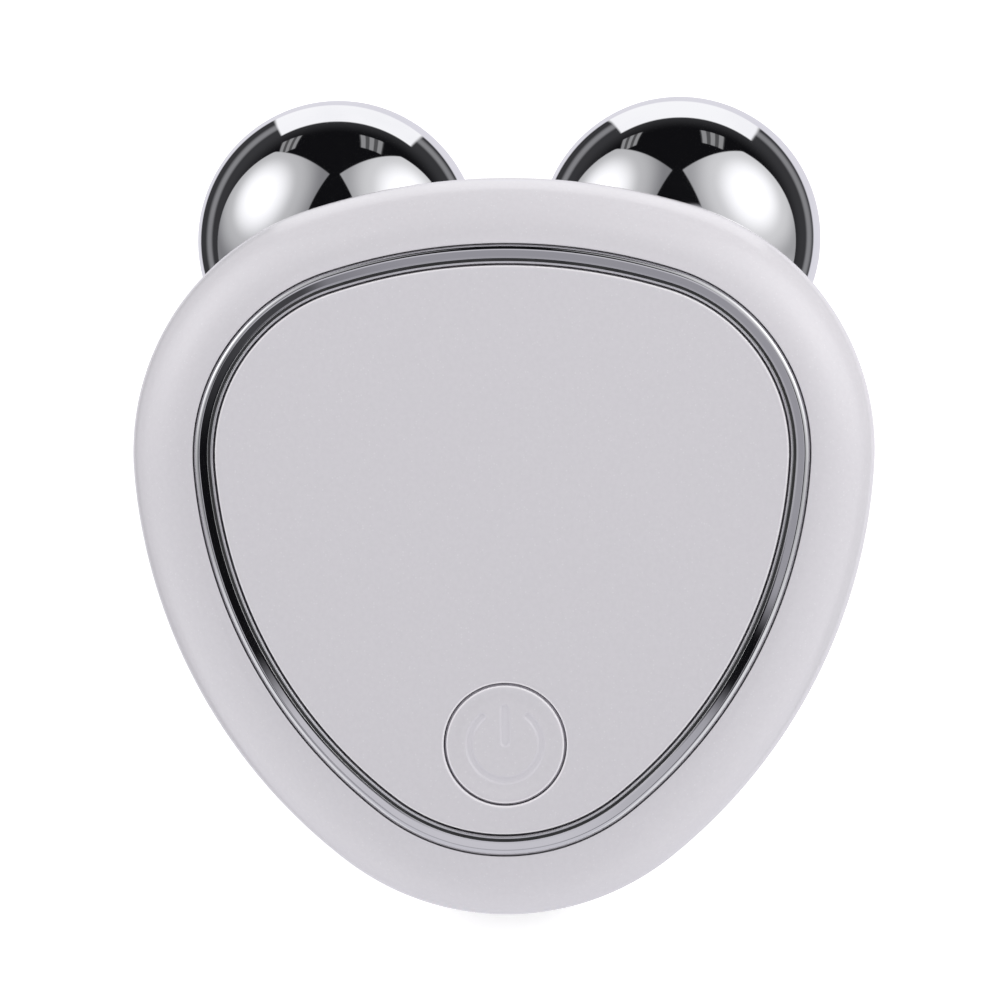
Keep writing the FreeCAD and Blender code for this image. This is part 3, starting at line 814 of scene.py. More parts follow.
@dataclass(frozen=True)
class CaseOutline:
    """Outline of the case seen from the front: six tangent arcs."""

    width: float = 60.0
    height: float = 59.65
    top_radius: float = 51.6
    shoulder_radius: float = 20.6
    side_radius: float = 44.1
    tail_radius: float = 21.4
    step_angle: float = math.radians(1.0)

    @property
    def shoulder_x(self) -> float:
        """X of the right shoulder arc's centre."""
        return self.width / 2 - self.shoulder_radius

    @property
    def top_centre_y(self) -> float:
        """Y of the top arc's centre."""
        return -math.sqrt((self.top_radius - self.shoulder_radius) ** 2 - self.shoulder_x ** 2)

    @property
    def tail_y(self) -> float:
        """Y of the tail's end."""
        return self.top_centre_y + self.top_radius - self.height

    def side_centre(self) -> Vector:
        """Centre of the right side arc, tangent to the shoulder arc and the tail arc.

        Returns:
            The centre, in the case's plan.
        """
        tail = Vector((0.0, self.tail_y + self.tail_radius, 0.0))
        reach = Vector((self.shoulder_x, 0.0, 0.0)) - tail
        to_shoulder = self.side_radius - self.shoulder_radius
        to_tail = self.side_radius - self.tail_radius
        along = (to_tail ** 2 - to_shoulder ** 2 + reach.length_squared) / (2 * reach.length)
        across = math.sqrt(to_tail ** 2 - along ** 2)
        forward = reach.normalized()
        return tail + forward * along + UP.cross(forward) * across

    def arcs(self) -> list[tuple[Vector, float, float, float]]:
        """The arcs, anticlockwise from the right side.

        Returns:
            Each arc's centre, radius, start angle and end angle.
        """
        side = self.side_centre()
        tail = Vector((0.0, self.tail_y + self.tail_radius, 0.0))
        top = Vector((0.0, self.top_centre_y, 0.0))
        shoulder = Vector((self.shoulder_x, 0.0, 0.0))
        left_side = Vector((-side.x, side.y, 0.0))
        left_shoulder = Vector((-shoulder.x, 0.0, 0.0))
        to_tail = math.atan2(tail.y - side.y, -side.x)
        to_shoulder = math.atan2(-side.y, shoulder.x - side.x)
        to_top = math.atan2(-top.y, shoulder.x)
        return [
            (side, self.side_radius, to_tail, to_shoulder),
            (shoulder, self.shoulder_radius, to_shoulder, to_top),
            (top, self.top_radius, to_top, HALF_TURN - to_top),
            (left_shoulder, self.shoulder_radius, HALF_TURN - to_top, HALF_TURN - to_shoulder),
            (left_side, self.side_radius, HALF_TURN - to_shoulder, HALF_TURN - to_tail),
            (tail, self.tail_radius, HALF_TURN - to_tail, FULL_TURN + to_tail),
        ]

    def carry(self, name: str, profile: Sequence[Vector]) -> bpy.types.Object:
        """Carries a profile once round the outline.

        Args:
            name: The new object's name.
            profile: Points whose X is minus their inset from the outline.

        Returns:
            The welded skin.
        """
        arcs = self.arcs()
        centre, radius, start, _ = arcs[0]
        turned = Matrix.Rotation(start, 3, "Z")
        out = Vector((radius, 0.0, 0.0))
        obj = draw_path(name, [centre + turned @ (point + out) for point in profile])
        carry([Turn(middle, end - begin) for middle, _, begin, end in arcs], self.step_angle)
        return weld(obj)


@dataclass(frozen=True)
class FrontStack:
    """Sizes that the front shell, the trim ring, the panel and the button share."""

    outline: CaseOutline = CaseOutline()
    rim_flank: float = 1.5
    rim_radius: float = 6.0
    ring_inset: float = 5.17
    ring_width: float = 1.48
    trim_gap: float = 0.15
    panel_thickness: float = 1.5
    deck_thickness: float = 1.6
    button_radius: float = 4.75
    button_gap: float = 0.2
    button_rise: float = 14.2
    button_step: float = math.radians(3.0)

    @property
    def crest(self) -> float:
        """Z of the rim's inner edge and of the panel's face."""
        return self.rim_flank + math.sqrt(self.rim_radius ** 2 - (self.rim_radius - self.ring_inset) ** 2)

    @property
    def deck_top(self) -> float:
        """Z of the deck that the trim lies on."""
        return self.crest - self.panel_thickness

    @property
    def deck_bottom(self) -> float:
        """Z of the deck's underside."""
        return self.deck_top - self.deck_thickness

    @property
    def ring_outer_inset(self) -> float:
        """Inset of the trim ring's outer wall."""
        return self.ring_inset + self.trim_gap

    @property
    def ring_inner_inset(self) -> float:
        """Inset of the trim ring's inner wall."""
        return self.ring_outer_inset + self.ring_width

    @property
    def panel_inset(self) -> float:
        """Inset of the panel's edge."""
        return self.ring_inner_inset + self.trim_gap

    @property
    def hole_radius(self) -> float:
        """Radius of the button's hole."""
        return self.button_radius + self.button_gap

    @property
    def button_centre(self) -> Vector:
        """The button's axis in plan."""
        return Vector((0.0, self.outline.tail_y + self.button_rise, 0.0))

    def round_button(self, name: str, profile: Sequence[Vector]) -> bpy.types.Object:
        """Turns a profile once about the button's axis.

        Args:
            name: The new object's name.
            profile: Points with X as the radius.

        Returns:
            The welded skin.
        """
        obj = draw_path(name, [self.button_centre + point for point in profile])
        carry([Turn(self.button_centre, FULL_TURN)], self.button_step)
        return weld(obj)


def case_place(record: dict[str, Any], crest: float) -> Matrix:
    """The case's own axes in the object's frame, from the mount on the front panel.

    Args:
        record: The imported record.
        crest: Height of the panel's face over the joint of the shells, in millimetres.

    Returns:
        From the case's axes in millimetres to the object's frame in metres.
    """
    mount = next(entry for entry in record["mounts"] if entry["name"] == "front_face")
    outward = Vector(mount["axis"]).normalized()
    right = Vector((1.0, 0.0, 0.0))
    origin = Vector(mount["pos_m"]) - outward * crest * METRES_PER_MM
    axes = Matrix((right, outward.cross(right), outward)).transposed().to_4x4()
    return Matrix.Translation(origin) @ axes @ Matrix.Scale(METRES_PER_MM, 4)


# Sub-assemblies


@dataclass
class FrontShell:
    """Pearl rim of the case, with the deck that the trim lies on."""

    stack: FrontStack
    wall: float = 1.8
    seam_bevel: float = 0.15
    edge_round: float = 0.09
    edge_faces: int = 3
    hold: float = 0.12
    rim_faces: int = 26
    inner_faces: int = 8

    def profile(self) -> list[Vector]:
        """Section of the rim.

        Returns:
            Its points, from the deck's underside round the seam and over the crest to the deck's top.
        """
        stack = self.stack
        middle = Vector((-stack.rim_radius, 0.0, stack.rim_flank))
        outer_turn = math.acos((stack.rim_radius - stack.ring_inset) / stack.rim_radius)
        inner_radius = stack.rim_radius - self.wall
        inner_turn = math.asin((stack.deck_bottom - stack.rim_flank) / inner_radius)
        return [
            *section((-stack.ring_inner_inset, stack.deck_bottom)),
            *arc(middle, inner_radius, inner_turn, 0.0, self.inner_faces),
            *section((-self.wall, 0.0), (-self.seam_bevel, 0.0), (0.0, self.seam_bevel)),
            *arc(middle, stack.rim_radius, 0.0, outer_turn - self.hold / stack.rim_radius, self.rim_faces),
            *section((-stack.ring_inset, stack.crest), (-stack.ring_inset, stack.deck_top),
                     (-stack.ring_inner_inset, stack.deck_top)),
        ]

    def build(self, place: Matrix) -> None:
        """Builds the shell, with the button's hole through its deck.

        Args:
            place: From the case's axes to the object's frame.
        """
        stack = self.stack
        shell = stack.outline.carry("front_rim", held(self.profile(), self.hold))
        round_edges(shell, self.edge_round, self.edge_faces)
        hole = stack.round_button("deck_hole", section(
            (stack.hole_radius, stack.deck_top), (stack.hole_radius, stack.deck_bottom)))
        join(shell, hole)
        fill_rims(shell, stack.deck_top)
        fill_rims(shell, stack.deck_bottom)
        lay(weld(shell), place)
        seat(shell, "case", Slot.PEARL, "front_shell")


@dataclass
class TrimRing:
    """Chrome ring between rim and panel: a round bevel, a sloping band, a black strip in the groove that paints
    its shade as a dark line, and a lip.
    """

    stack: FrontStack
    rim_gap: float = 0.11
    bevel: float = 0.44
    bevel_rise: float = 0.26
    bevel_start: float = math.radians(60.0)
    bevel_end: float = math.radians(88.0)
    bevel_faces: int = 10
    band: float = 0.52
    ledge: float = 0.13
    tilt: float = 0.05
    groove: float = 0.23
    groove_depth: float = 0.30
    # How far the painted-shade strip in the groove sits below the band
    inlay_drop: float = 0.05
    lip_drop: float = 0.16
    undercut: float = 0.12
    foot_width: float = 0.12
    foot_height: float = 0.40
    edge_round: float = 0.03
    edge_faces: int = 3
    edge_angle: float = math.radians(50.0)
    hold: float = 0.045

    @property
    def groove_start(self) -> float:
        """The groove's outer edge, as an inset from the ring's outer wall."""
        return self.bevel + self.band + self.ledge

    def bevel_points(self) -> list[tuple[float, float]]:
        """The bevel, on part of an ellipse.

        Returns:
            Its insets and heights, from its foot to its crest.
        """
        start, end = self.bevel_start, self.bevel_end
        foot = self.stack.crest + self.tilt - self.bevel_rise
        turns = [start + (end - start) * step / self.bevel_faces for step in range(self.bevel_faces + 1)]
        run = math.cos(start) - math.cos(end)
        rise = math.sin(end) - math.sin(start)
        insets = [(math.cos(start) - math.cos(turn)) / run * self.bevel for turn in turns]
        heights = [foot + (math.sin(turn) - math.sin(start)) / rise * self.bevel_rise for turn in turns]
        return list(zip(insets, heights))

    def profile(self) -> list[Vector]:
        """Closed section of the ring.

        Returns:
            Its points, from the foot of its outer wall over its face to its inner wall.
        """
        base = self.stack.deck_top
        face = self.stack.crest - self.tilt
        floor = self.stack.crest - self.groove_depth
        width = self.stack.ring_width + self.stack.trim_gap - self.rim_gap
        groove_end = self.groove_start + self.groove
        return self.placed(
            (self.undercut, base), *self.bevel_points(),
            (self.bevel + self.band, face), (self.groove_start, face),
            (self.groove_start, floor), (groove_end, floor), (groove_end, face),
            (width - self.lip_drop / 2, face), (width, face - self.lip_drop),
            (width, base + self.foot_height), (width + self.foot_width, base), (self.undercut, base),
        )

    def inlay_profile(self) -> list[Vector]:
        """Closed section of the black strip in the groove, which is painted shade there.

        Returns:
            Its points, from the groove's floor over its hollow face.
        """
        floor = self.stack.crest - self.groove_depth
        top = self.stack.crest - self.tilt - self.inlay_drop
        start, end = self.groove_start, self.groove_start + self.groove
        middle = (start + end) / 2
        hollow = top - self.inlay_drop
        return self.placed(
            (start, floor), (start, top), (middle, hollow), (end, top), (end, floor), (start, floor))

    def placed(self, *corners: tuple[float, float]) -> list[Vector]:
        """A section whose insets are measured from the ring's outer wall."""
        outer = self.stack.ring_inset + self.rim_gap
        return section(*((-outer - inset, height) for inset, height in corners))

    def build(self, place: Matrix) -> None:
        """Builds the ring and the black strip of painted shade in its groove.

        Args:
            place: From the case's axes to the object's frame.
        """
        ring = self.stack.outline.carry("chrome_trim_ring", held(self.profile(), self.hold))
        round_edges(ring, self.edge_round, self.edge_faces, self.edge_angle)
        lay(weld(ring), place)
        seat(ring, "case", Slot.CHROME, "trim_ring")
        # A black strip in the groove gives its dark line: painted shade.
        shade_strip = self.stack.outline.carry("trim_ring_inlay", self.inlay_profile())
        lay(shade_strip, place)
        seat(shade_strip, "case", Slot.BLACK_PLASTIC, "trim_ring")


@dataclass
class FrontPanel:
    """Flat pearl panel with a rounded edge and the button's hole."""

    stack: FrontStack
    edge_radius: float = 0.25
    edge_faces: int = 6
    hold: float = 0.1

    def build(self, place: Matrix) -> None:
        """Builds the panel.

        Args:
            place: From the case's axes to the object's frame.
        """
        stack = self.stack
        low = stack.crest - self.edge_radius
        edge = -stack.panel_inset
        outer_middle = Vector((edge - self.edge_radius, 0.0, low))
        inner_middle = Vector((stack.hole_radius + self.edge_radius, 0.0, low))
        outer = [
            *section((edge, stack.deck_top)),
            *arc(outer_middle, self.edge_radius, 0.0, QUARTER_TURN, self.edge_faces),
            *section((edge - self.edge_radius - self.hold, stack.crest)),
        ]
        inner = [
            *section((stack.hole_radius, stack.deck_top)),
            *arc(inner_middle, self.edge_radius, HALF_TURN, QUARTER_TURN, self.edge_faces),
            *section((stack.hole_radius + self.edge_radius + self.hold, stack.crest)),
        ]
        panel = stack.outline.carry("pearl_front_panel", outer)
        join(panel, stack.round_button("panel_hole", inner))
        fill_rims(panel, stack.crest)
        fill_rims(panel, stack.deck_top)
        weld(panel)
        # The panel's rounded edge is marked for the pearl finish's painted highlight.
        mark_edge(panel, lambda spot: (stack.crest - spot.z) / self.edge_radius)
        lay(panel, place)
        seat(panel, "case", Slot.PEARL, "front_panel")


@dataclass
class PowerButton:
    """Round button cap with its retaining flange and post, and the power symbol sunk in its face."""

    stack: FrontStack
    edge_radius: float = 0.25
    edge_faces: int = 6
    corner_round: float = 0.0625
    corner_faces: int = 2
    top_thickness: float = 1.6
    wall: float = 0.95
    flange_width: float = 0.9
    flange_thickness: float = 0.9
    flange_gap: float = 0.15
    step_depth: float = 0.6
    step_width: float = 0.14
    post_radius: float = 1.5
    post_length: float = 1.1
    symbol_radius: float = 3.25
    stroke: float = 0.7
    opening: float = math.radians(78.0)
    bar_width: float = 0.9
    bar_top: float = 3.3
    bar_bottom: float = -0.25
    tray_radius: float = 3.5
    tray_depth: float = 0.1
    tray_faces: int = 8
    symbol_depth: float = 0.12
    symbol_slope: float = 0.24
    symbol_sink: float = 0.6
    symbol_faces: int = 6
    symbol_step: float = math.radians(5.0)
    bar_step: float = math.radians(10.0)
    hold: float = 0.1

    @property
    def face(self) -> float:
        """Z of the flat middle of the cap's face."""
        return self.stack.crest - self.tray_depth

    def edge_depth(self, spot: Vector) -> float:
        """How deep a place lies in the rounding of the cap's edge.

        Args:
            spot: The place.

        Returns:
            From 0 where the rounding starts to 1 where it ends, and 0 away from it.
        """
        reach = (spot - self.stack.button_centre).xy.length
        is_edge = reach > self.stack.button_radius - self.edge_radius
        return (self.stack.crest - spot.z) / self.edge_radius if is_edge else 0.0

    def cap_profile(self) -> list[Vector]:
        """Section of the cap.

        Returns:
            Its points, from the sunk middle up a soft slope to the edge, and down to the end of the post.
        """
        stack = self.stack
        radius = stack.button_radius
        flange_top = stack.deck_bottom - self.flange_gap
        flange_bottom = flange_top - self.flange_thickness
        ceiling = stack.crest - self.top_thickness
        corner = Vector((radius - self.edge_radius, 0.0, stack.crest - self.edge_radius))
        shares = [step / self.tray_faces for step in range(self.tray_faces)]
        slope = [(self.tray_radius + (corner.x - self.tray_radius) * share,
                  stack.crest - self.tray_depth * (1 + math.cos(HALF_TURN * share)) / 2) for share in shares]
        return [
            *section((self.tray_radius - self.hold, self.face), *slope),
            *arc(corner, self.edge_radius, QUARTER_TURN, 0.0, self.edge_faces),
            *section(
                (radius, stack.crest - self.step_depth),
                (radius + self.step_width, stack.crest - self.step_depth - self.step_width),
                (radius + self.step_width, flange_top), (radius + self.flange_width, flange_top),
                (radius + self.flange_width, flange_bottom), (radius - self.wall, flange_bottom),
                (radius - self.wall, ceiling), (self.post_radius, ceiling),
                (self.post_radius, ceiling - self.post_length), (0.0, ceiling - self.post_length),
            ),
        ]

    def slot_section(self) -> list[Vector]:
        """Section of the wall of the symbol's slot, from its floor to the cap's face."""
        return section((0.0, self.face - self.symbol_sink), (0.0, self.face))

    def symbol_section(self) -> list[Vector]:
        """Section of the symbol's edge.

        Returns:
            Its points, up the slot's wall and down a soft slope to the symbol's flat middle.
        """
        shares = [step / self.symbol_faces for step in range(1, self.symbol_faces + 1)]
        insets = [-self.symbol_slope * share for share in shares]
        heights = [self.face - self.symbol_depth * (1 - math.cos(HALF_TURN * share)) / 2 for share in shares]
        return [*self.slot_section(), *section(*zip(insets, heights))]

    def symbol_ring(self, edge: Sequence[Vector]) -> bpy.types.Object:
        """Carries an edge section round the symbol's open ring.

        Args:
            edge: The section, with X outwards from the ring's edge.

        Returns:
            The welded skin.
        """
        centre = self.stack.button_centre
        start = QUARTER_TURN + self.opening / 2
        sweep = FULL_TURN - self.opening
        middle = Vector((self.symbol_radius - self.stroke / 2, 0.0, 0.0))
        first, last = (centre + Matrix.Rotation(angle, 3, "Z") @ middle for angle in (start, start + sweep))
        turned = Matrix.Rotation(start, 3, "Z")
        out = Vector((self.symbol_radius, 0.0, 0.0))
        ring = draw_path("symbol_ring", [centre + turned @ (point + out) for point in edge])
        route = [Turn(centre, sweep), Turn(last, HALF_TURN), Turn(centre, -sweep), Turn(first, HALF_TURN)]
        carry(route, self.symbol_step)
        return weld(ring)

    def symbol_bar(self, edge: Sequence[Vector]) -> bpy.types.Object:
        """Carries an edge section round the symbol's bar.

        Args:
            edge: The section, with X outwards from the bar's edge.

        Returns:
            The welded skin.
        """
        half = self.bar_width / 2
        centre = self.stack.button_centre
        low = centre + Vector((0.0, self.bar_bottom + half, 0.0))
        high = centre + Vector((0.0, self.bar_top - half, 0.0))
        out = Vector((half, 0.0, 0.0))
        bar = draw_path("symbol_bar", [low + out + point for point in edge])
        carry([Run(high - low), Turn(high, HALF_TURN), Run(low - high), Turn(low, HALF_TURN)], self.bar_step)
        return weld(bar)

    def build(self, place: Matrix) -> None:
        """Builds the cap, with the symbol's slot in its face, and the symbol.

        Args:
            place: From the case's axes to the object's frame.
        """
        slot_floor = self.face - self.symbol_sink
        cap = self.stack.round_button("power_button_cap", self.cap_profile())
        round_edges(cap, self.corner_round, self.corner_faces)
        join(cap, self.symbol_ring(self.slot_section()), self.symbol_bar(self.slot_section()))
        fill_rims(cap, self.face)
        fill_rims(cap, slot_floor)
        weld(cap)
        # The cap's rounded edge is marked for the pearl finish's painted highlight.
        mark_edge(cap, self.edge_depth)
        lay(cap, place)
        seat(cap, "button", Slot.PEARL, "power_button")
        symbol = join(self.symbol_ring(self.symbol_section()), self.symbol_bar(self.symbol_section()))
        symbol.name = "power_symbol"
        fill_rims(symbol, self.face - self.symbol_depth)
        fill_rims(symbol, slot_floor)
        lay(weld(symbol), place)
        seat(symbol, "button", Slot.SYMBOL, "symbol_light_guide")


@dataclass
class RollerPair:
    """The two polished balls with their end caps."""

    joints: list[dict[str, Any]]
    ball_radius: float = 11.75
    bore_radius: float = 2.37
    bore_end: float = 4.0
    cap_radius: float = 3.4
    cap_gap: float = 0.02
    cap_thickness: float = 3.0
    edge_round: float = 0.07
    edge_faces: int = 3
    ball_faces: int = 72
    cap_faces: int = 10
    step_angle: float = math.radians(2.25)

    def on_ball(self, radius: float) -> float:
        """Angle from the axle's outward direction to the ball's surface at a radius from the axle."""
        return math.asin(radius / self.ball_radius)

    def turned(self, name: str, profile: Sequence[Vector]) -> bpy.types.Object:
        """Turns a profile once about the axle.

        Args:
            name: The new object's name.
            profile: Points with X as the radius and Z outwards along the axle.

        Returns:
            The welded skin.
        """
        obj = draw_path(name, profile)
        carry([Turn(ORIGIN, FULL_TURN)], self.step_angle)
        return weld(obj)

    def ball(self) -> bpy.types.Object:
        """The ball, bored for its bush and open at its outer pole for the end cap.

        Returns:
            The ball, about its own axle.
        """
        pocket_radius = self.cap_radius + self.cap_gap
        outer = QUARTER_TURN - self.on_ball(pocket_radius)
        inner = self.on_ball(self.bore_radius) - QUARTER_TURN
        surface = arc(ORIGIN, self.ball_radius, outer, inner, self.ball_faces)
        inside = section(
            (self.bore_radius, self.bore_end), (pocket_radius, self.bore_end), (surface[0].x, surface[0].z))
        ball = self.turned("ball", [*surface, *inside])
        round_edges(ball, self.edge_round, self.edge_faces)
        return ball

    def cap(self) -> bpy.types.Object:
        """The plug in the outer pole, whose face follows the ball.

        Returns:
            The plug, about its own axle.
        """
        edge = QUARTER_TURN - self.on_ball(self.cap_radius)
        surface = arc(ORIGIN, self.ball_radius, QUARTER_TURN, edge, self.cap_faces)
        bottom = surface[-1].z - self.cap_thickness
        cap = self.turned("cap", [*surface, *section((self.cap_radius, bottom), (0.0, bottom))])
        round_edges(cap, self.edge_round, self.edge_faces)
        return cap

    def place(self, side: Side) -> Matrix:
        """A roller's axle in the object's frame.

        Args:
            side: The roller's side.

        Returns:
            From the roller's own axes in millimetres to the object's frame in metres.
        """
        joint = next(entry for entry in self.joints if entry["name"] == f"{side.label}_roller_spin")
        turn = Vector(joint["axis"]).to_track_quat("Z", "Y").to_matrix().to_4x4()
        return Matrix.Translation(Vector(joint["pos_m"])) @ turn @ Matrix.Scale(METRES_PER_MM, 4)

    def build(self) -> None:
        """Builds one ball and one cap, and sets a copy of each on both axles."""
        for master, piece, node in ((self.ball(), "polished_ball", "roller_ball"),
                                    (self.cap(), "polished_end_cap", "ball_cap")):
            for side in Side:
                take(master)
                bpy.ops.object.duplicate(linked=False)
                copy = bpy.context.object
                copy.name = f"{side.label}_{piece}"
                copy.data.name = copy.name
                lay(weld(copy), self.place(side))
                seat(copy, f"{side.label}_roller", Slot.CHROME, f"{side.label}_{node}")
            bpy.data.objects.remove(master)


def dress_nodes(nodes: dict[str, bpy.types.Object]) -> None:
    """Gives every node that still shows the finish of its material slot.

    Args:
        nodes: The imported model's objects by name.
    """
    for name, node in nodes.items():
        if node.hide_render:
            continue
        for holder in node.material_slots:
            holder.material = material_for(Slot(holder.material.name.split(".")[0]))
        log.info("%s keeps its shape and takes %s", name, node.material_slots[0].material.name)


# Studio


@dataclass(frozen=True)
class TubeLamp:
    """A small ceiling lamp of tubes: directions to it, across its tubes and along them, and half sizes."""

    towards: Direction
    across: Direction
    along: Direction
    half_across: float
    half_along: float
    tubes: int = 3


@dataclass(frozen=True)
class MirrorRoom:
    """The studio as the chrome mirrors it, as tones over directions: X right, Y up and Z to the camera.

    A softbox stands on each side and a white sweep behind. Two tube lamps hang from the dark ceiling. The
    wall by the camera has a dark gap on the right and a dark stand on the left. Each span says from where to
    where a tone comes in, along the part of the direction that its name gives.
    """

    softbox_corners: tuple[Direction, Direction, Direction, Direction] = (
        (0.56, 0.80, -0.18), (0.09, 0.81, 0.56), (0.36, 0.45, 0.82), (0.89, 0.04, -0.46))
    softbox_heart: Direction = (0.842, 0.484, 0.217)
    softbox_spot: Colour = (1.7, 1.7, 1.7)
    softbox_core: Colour = (1.18, 1.18, 1.20)
    softbox_bright: Colour = (0.52, 0.52, 0.53)
    softbox_dim: Colour = (0.22, 0.22, 0.23)
    softbox_low: Colour = (0.74, 0.74, 0.76)
    spot_nearness: Span = (0.965, 1.0)
    core_nearness: Span = (0.86, 1.0)
    bright_nearness: Span = (0.66, 0.88)
    low_drop: Span = (0.10, 0.45)
    right_bright: Colour = (0.66, 0.66, 0.67)
    right_dim: Colour = (0.36, 0.36, 0.37)
    right_turn: float = math.radians(8.0)
    right_side: Span = (-0.001, 0.001)
    tube_lamps: tuple[TubeLamp, TubeLamp] = (
        TubeLamp((-0.45, 0.873, -0.14), (0.747, 0.515, 0.424), (0.259, -0.136, -0.956), 0.10, 0.12),
        TubeLamp((0.318, 0.943, -0.04), (0.925, -0.348, -0.150), (0.055, 0.058, 0.997), 0.125, 0.135),
    )
    tube: Colour = (0.27, 0.27, 0.275)
    tube_valley: float = 0.3
    tube_wave: Span = (-0.5, 0.3)
    tube_facing: Span = (0.5, 0.6)
    dark: Colour = (0.005, 0.005, 0.006)
    shade: Colour = (0.040, 0.040, 0.043)
    shade_depth: Span = (0.15, 0.50)
    streak: Colour = (0.24, 0.24, 0.25)
    streak_start: Span = (0.56, 0.64)
    streak_end: Span = (0.68, 0.78)
    sweep: Colour = (0.98, 0.98, 1.00)
    sweep_depth: Span = (0.40, 0.43)
    sweep_side: Span = (0.0, 0.04)
    sweep_slope: float = 1.56
    sweep_lean: float = 0.237
    haze: Colour = (0.74, 0.73, 0.79)
    haze_depth: Span = (0.835, 0.87)
    haze_lean: float = 0.112
    table: Colour = (0.56, 0.555, 0.60)
    table_drop: Span = (0.34, 0.46)
    wall_low: Colour = (0.30, 0.295, 0.325)
    wall_high: Colour = (0.58, 0.57, 0.61)
    wall_rise: Span = (-0.42, 0.25)
    wall_left: Span = (0.15, 0.45)
    wall_near: Span = (0.86, 0.90)
    wall_top: Span = (0.36, 0.46)
    gap_shade: Colour = (0.055, 0.055, 0.060)
    gap_drop: Span = (0.08, 0.34)
    gap_right: Span = (0.0, 0.10)
    gap_top: Span = (0.07, 0.12)
    stand_across: Direction = (0.50, 0.866, 0.0)
    stand_offset: float = -0.115
    stand_half: Span = (0.015, 0.055)
    stand_left: Span = (0.12, 0.20)
    edge: float = 0.02

    def along(self, sheet: NodeSheet, way: Wire, direction: Direction) -> Wire:
        """How far a direction points along another."""
        inputs = {0: way, 1: direction}
        return sheet.add("ShaderNodeVectorMath", {"operation": "DOT_PRODUCT"}, inputs, "Value")

    def inside_softbox(self, sheet: NodeSheet, way: Wire) -> Wire:
        """Where a softbox is, within its top, front and back edges, each a plane through the eye.

        Args:
            sheet: The world's sheet.
            way: The ray's direction, with X away from the middle.

        Returns:
            1 inside and 0 outside.
        """
        back_top, front_top, front_low, back_low = (Vector(corner) for corner in self.softbox_corners)
        planes = (back_top.cross(front_top), front_top.cross(front_low), back_low.cross(back_top))
        within = [self.along(sheet, way, tuple(plane.normalized())).ramp(0.0, self.edge) for plane in planes]
        return within[0] * within[1] * within[2]

    def softboxes(self, sheet: NodeSheet, tone: Wire, x: Wire, y: Wire, z: Wire) -> Wire:
        """Lays the two softboxes over the room's tone.

        Args:
            sheet: The world's sheet.
            tone: The tone without them.
            x: The ray's part to the right.
            y: Its part upwards.
            z: Its part to the camera.

        Returns:
            The tone with them.
        """
        aside = x.size()
        is_right = x.ramp(*self.right_side)
        turn = math.sin(self.right_turn) * is_right
        way = sheet.add("ShaderNodeCombineXYZ", None, {0: aside + turn * z, 1: y, 2: z - turn * aside})
        nearness = self.along(sheet, way, self.softbox_heart)
        dim = sheet.blend(is_right, self.softbox_dim, self.right_dim)
        bright = sheet.blend(is_right, self.softbox_bright, self.right_bright)
        lit = sheet.blend(nearness.ramp(*self.bright_nearness), dim, bright)
        lit = sheet.blend(nearness.ramp(*self.core_nearness), lit, self.softbox_core)
        lit = sheet.blend(nearness.ramp(*self.spot_nearness), lit, self.softbox_spot)
        lit = sheet.blend((-y).ramp(*self.low_drop), lit, self.softbox_low)
        return sheet.blend(self.inside_softbox(sheet, way), tone, lit)

    def tubes(self, sheet: NodeSheet, ray: Wire, lamp: TubeLamp) -> Wire:
        """Where a lamp's tubes are.

        Args:
            sheet: The world's sheet.
            ray: The ray's direction.
            lamp: The lamp.

        Returns:
            1 on the tubes, less between them and 0 outside the lamp.
        """
        towards = Vector(lamp.towards)
        across = self.along(sheet, ray, lamp.across) - towards.dot(Vector(lamp.across))
        along = self.along(sheet, ray, lamp.along) - towards.dot(Vector(lamp.along))
        inside = 1.0 - across.size().ramp(lamp.half_across - self.edge, lamp.half_across)
        inside = inside * (1.0 - along.size().ramp(lamp.half_along - self.edge, lamp.half_along))
        inside = inside * self.along(sheet, ray, lamp.towards).ramp(*self.tube_facing)
        wave = (across * (lamp.tubes * math.pi / lamp.half_across)).cosine()
        return inside * (self.tube_valley + (1.0 - self.tube_valley) * wave.ramp(*self.tube_wave))

    def wall(self, sheet: NodeSheet, ray: Wire, x: Wire, y: Wire) -> Wire:
        """Tone of the wall by the camera.

        Args:
            sheet: The world's sheet.
            ray: The ray's direction.
            x: Its part to the right.
            y: Its part upwards.

        Returns:
            The tone, with the gap and the stand.
        """
        tone = sheet.blend(y.ramp(*self.wall_rise), self.wall_low, self.wall_high)
        tone = sheet.blend((-x).ramp(*self.wall_left), tone, self.wall_low)
        gap = sheet.blend((-y).ramp(*self.gap_drop), self.dark, self.gap_shade)
        tone = sheet.blend(x.ramp(*self.gap_right) * (1.0 - y.ramp(*self.gap_top)), tone, gap)
        across = self.along(sheet, ray, self.stand_across) - self.stand_offset
        stand = (1.0 - across.size().ramp(*self.stand_half)) * (-x).ramp(*self.stand_left)
        return sheet.blend(stand, tone, self.dark)

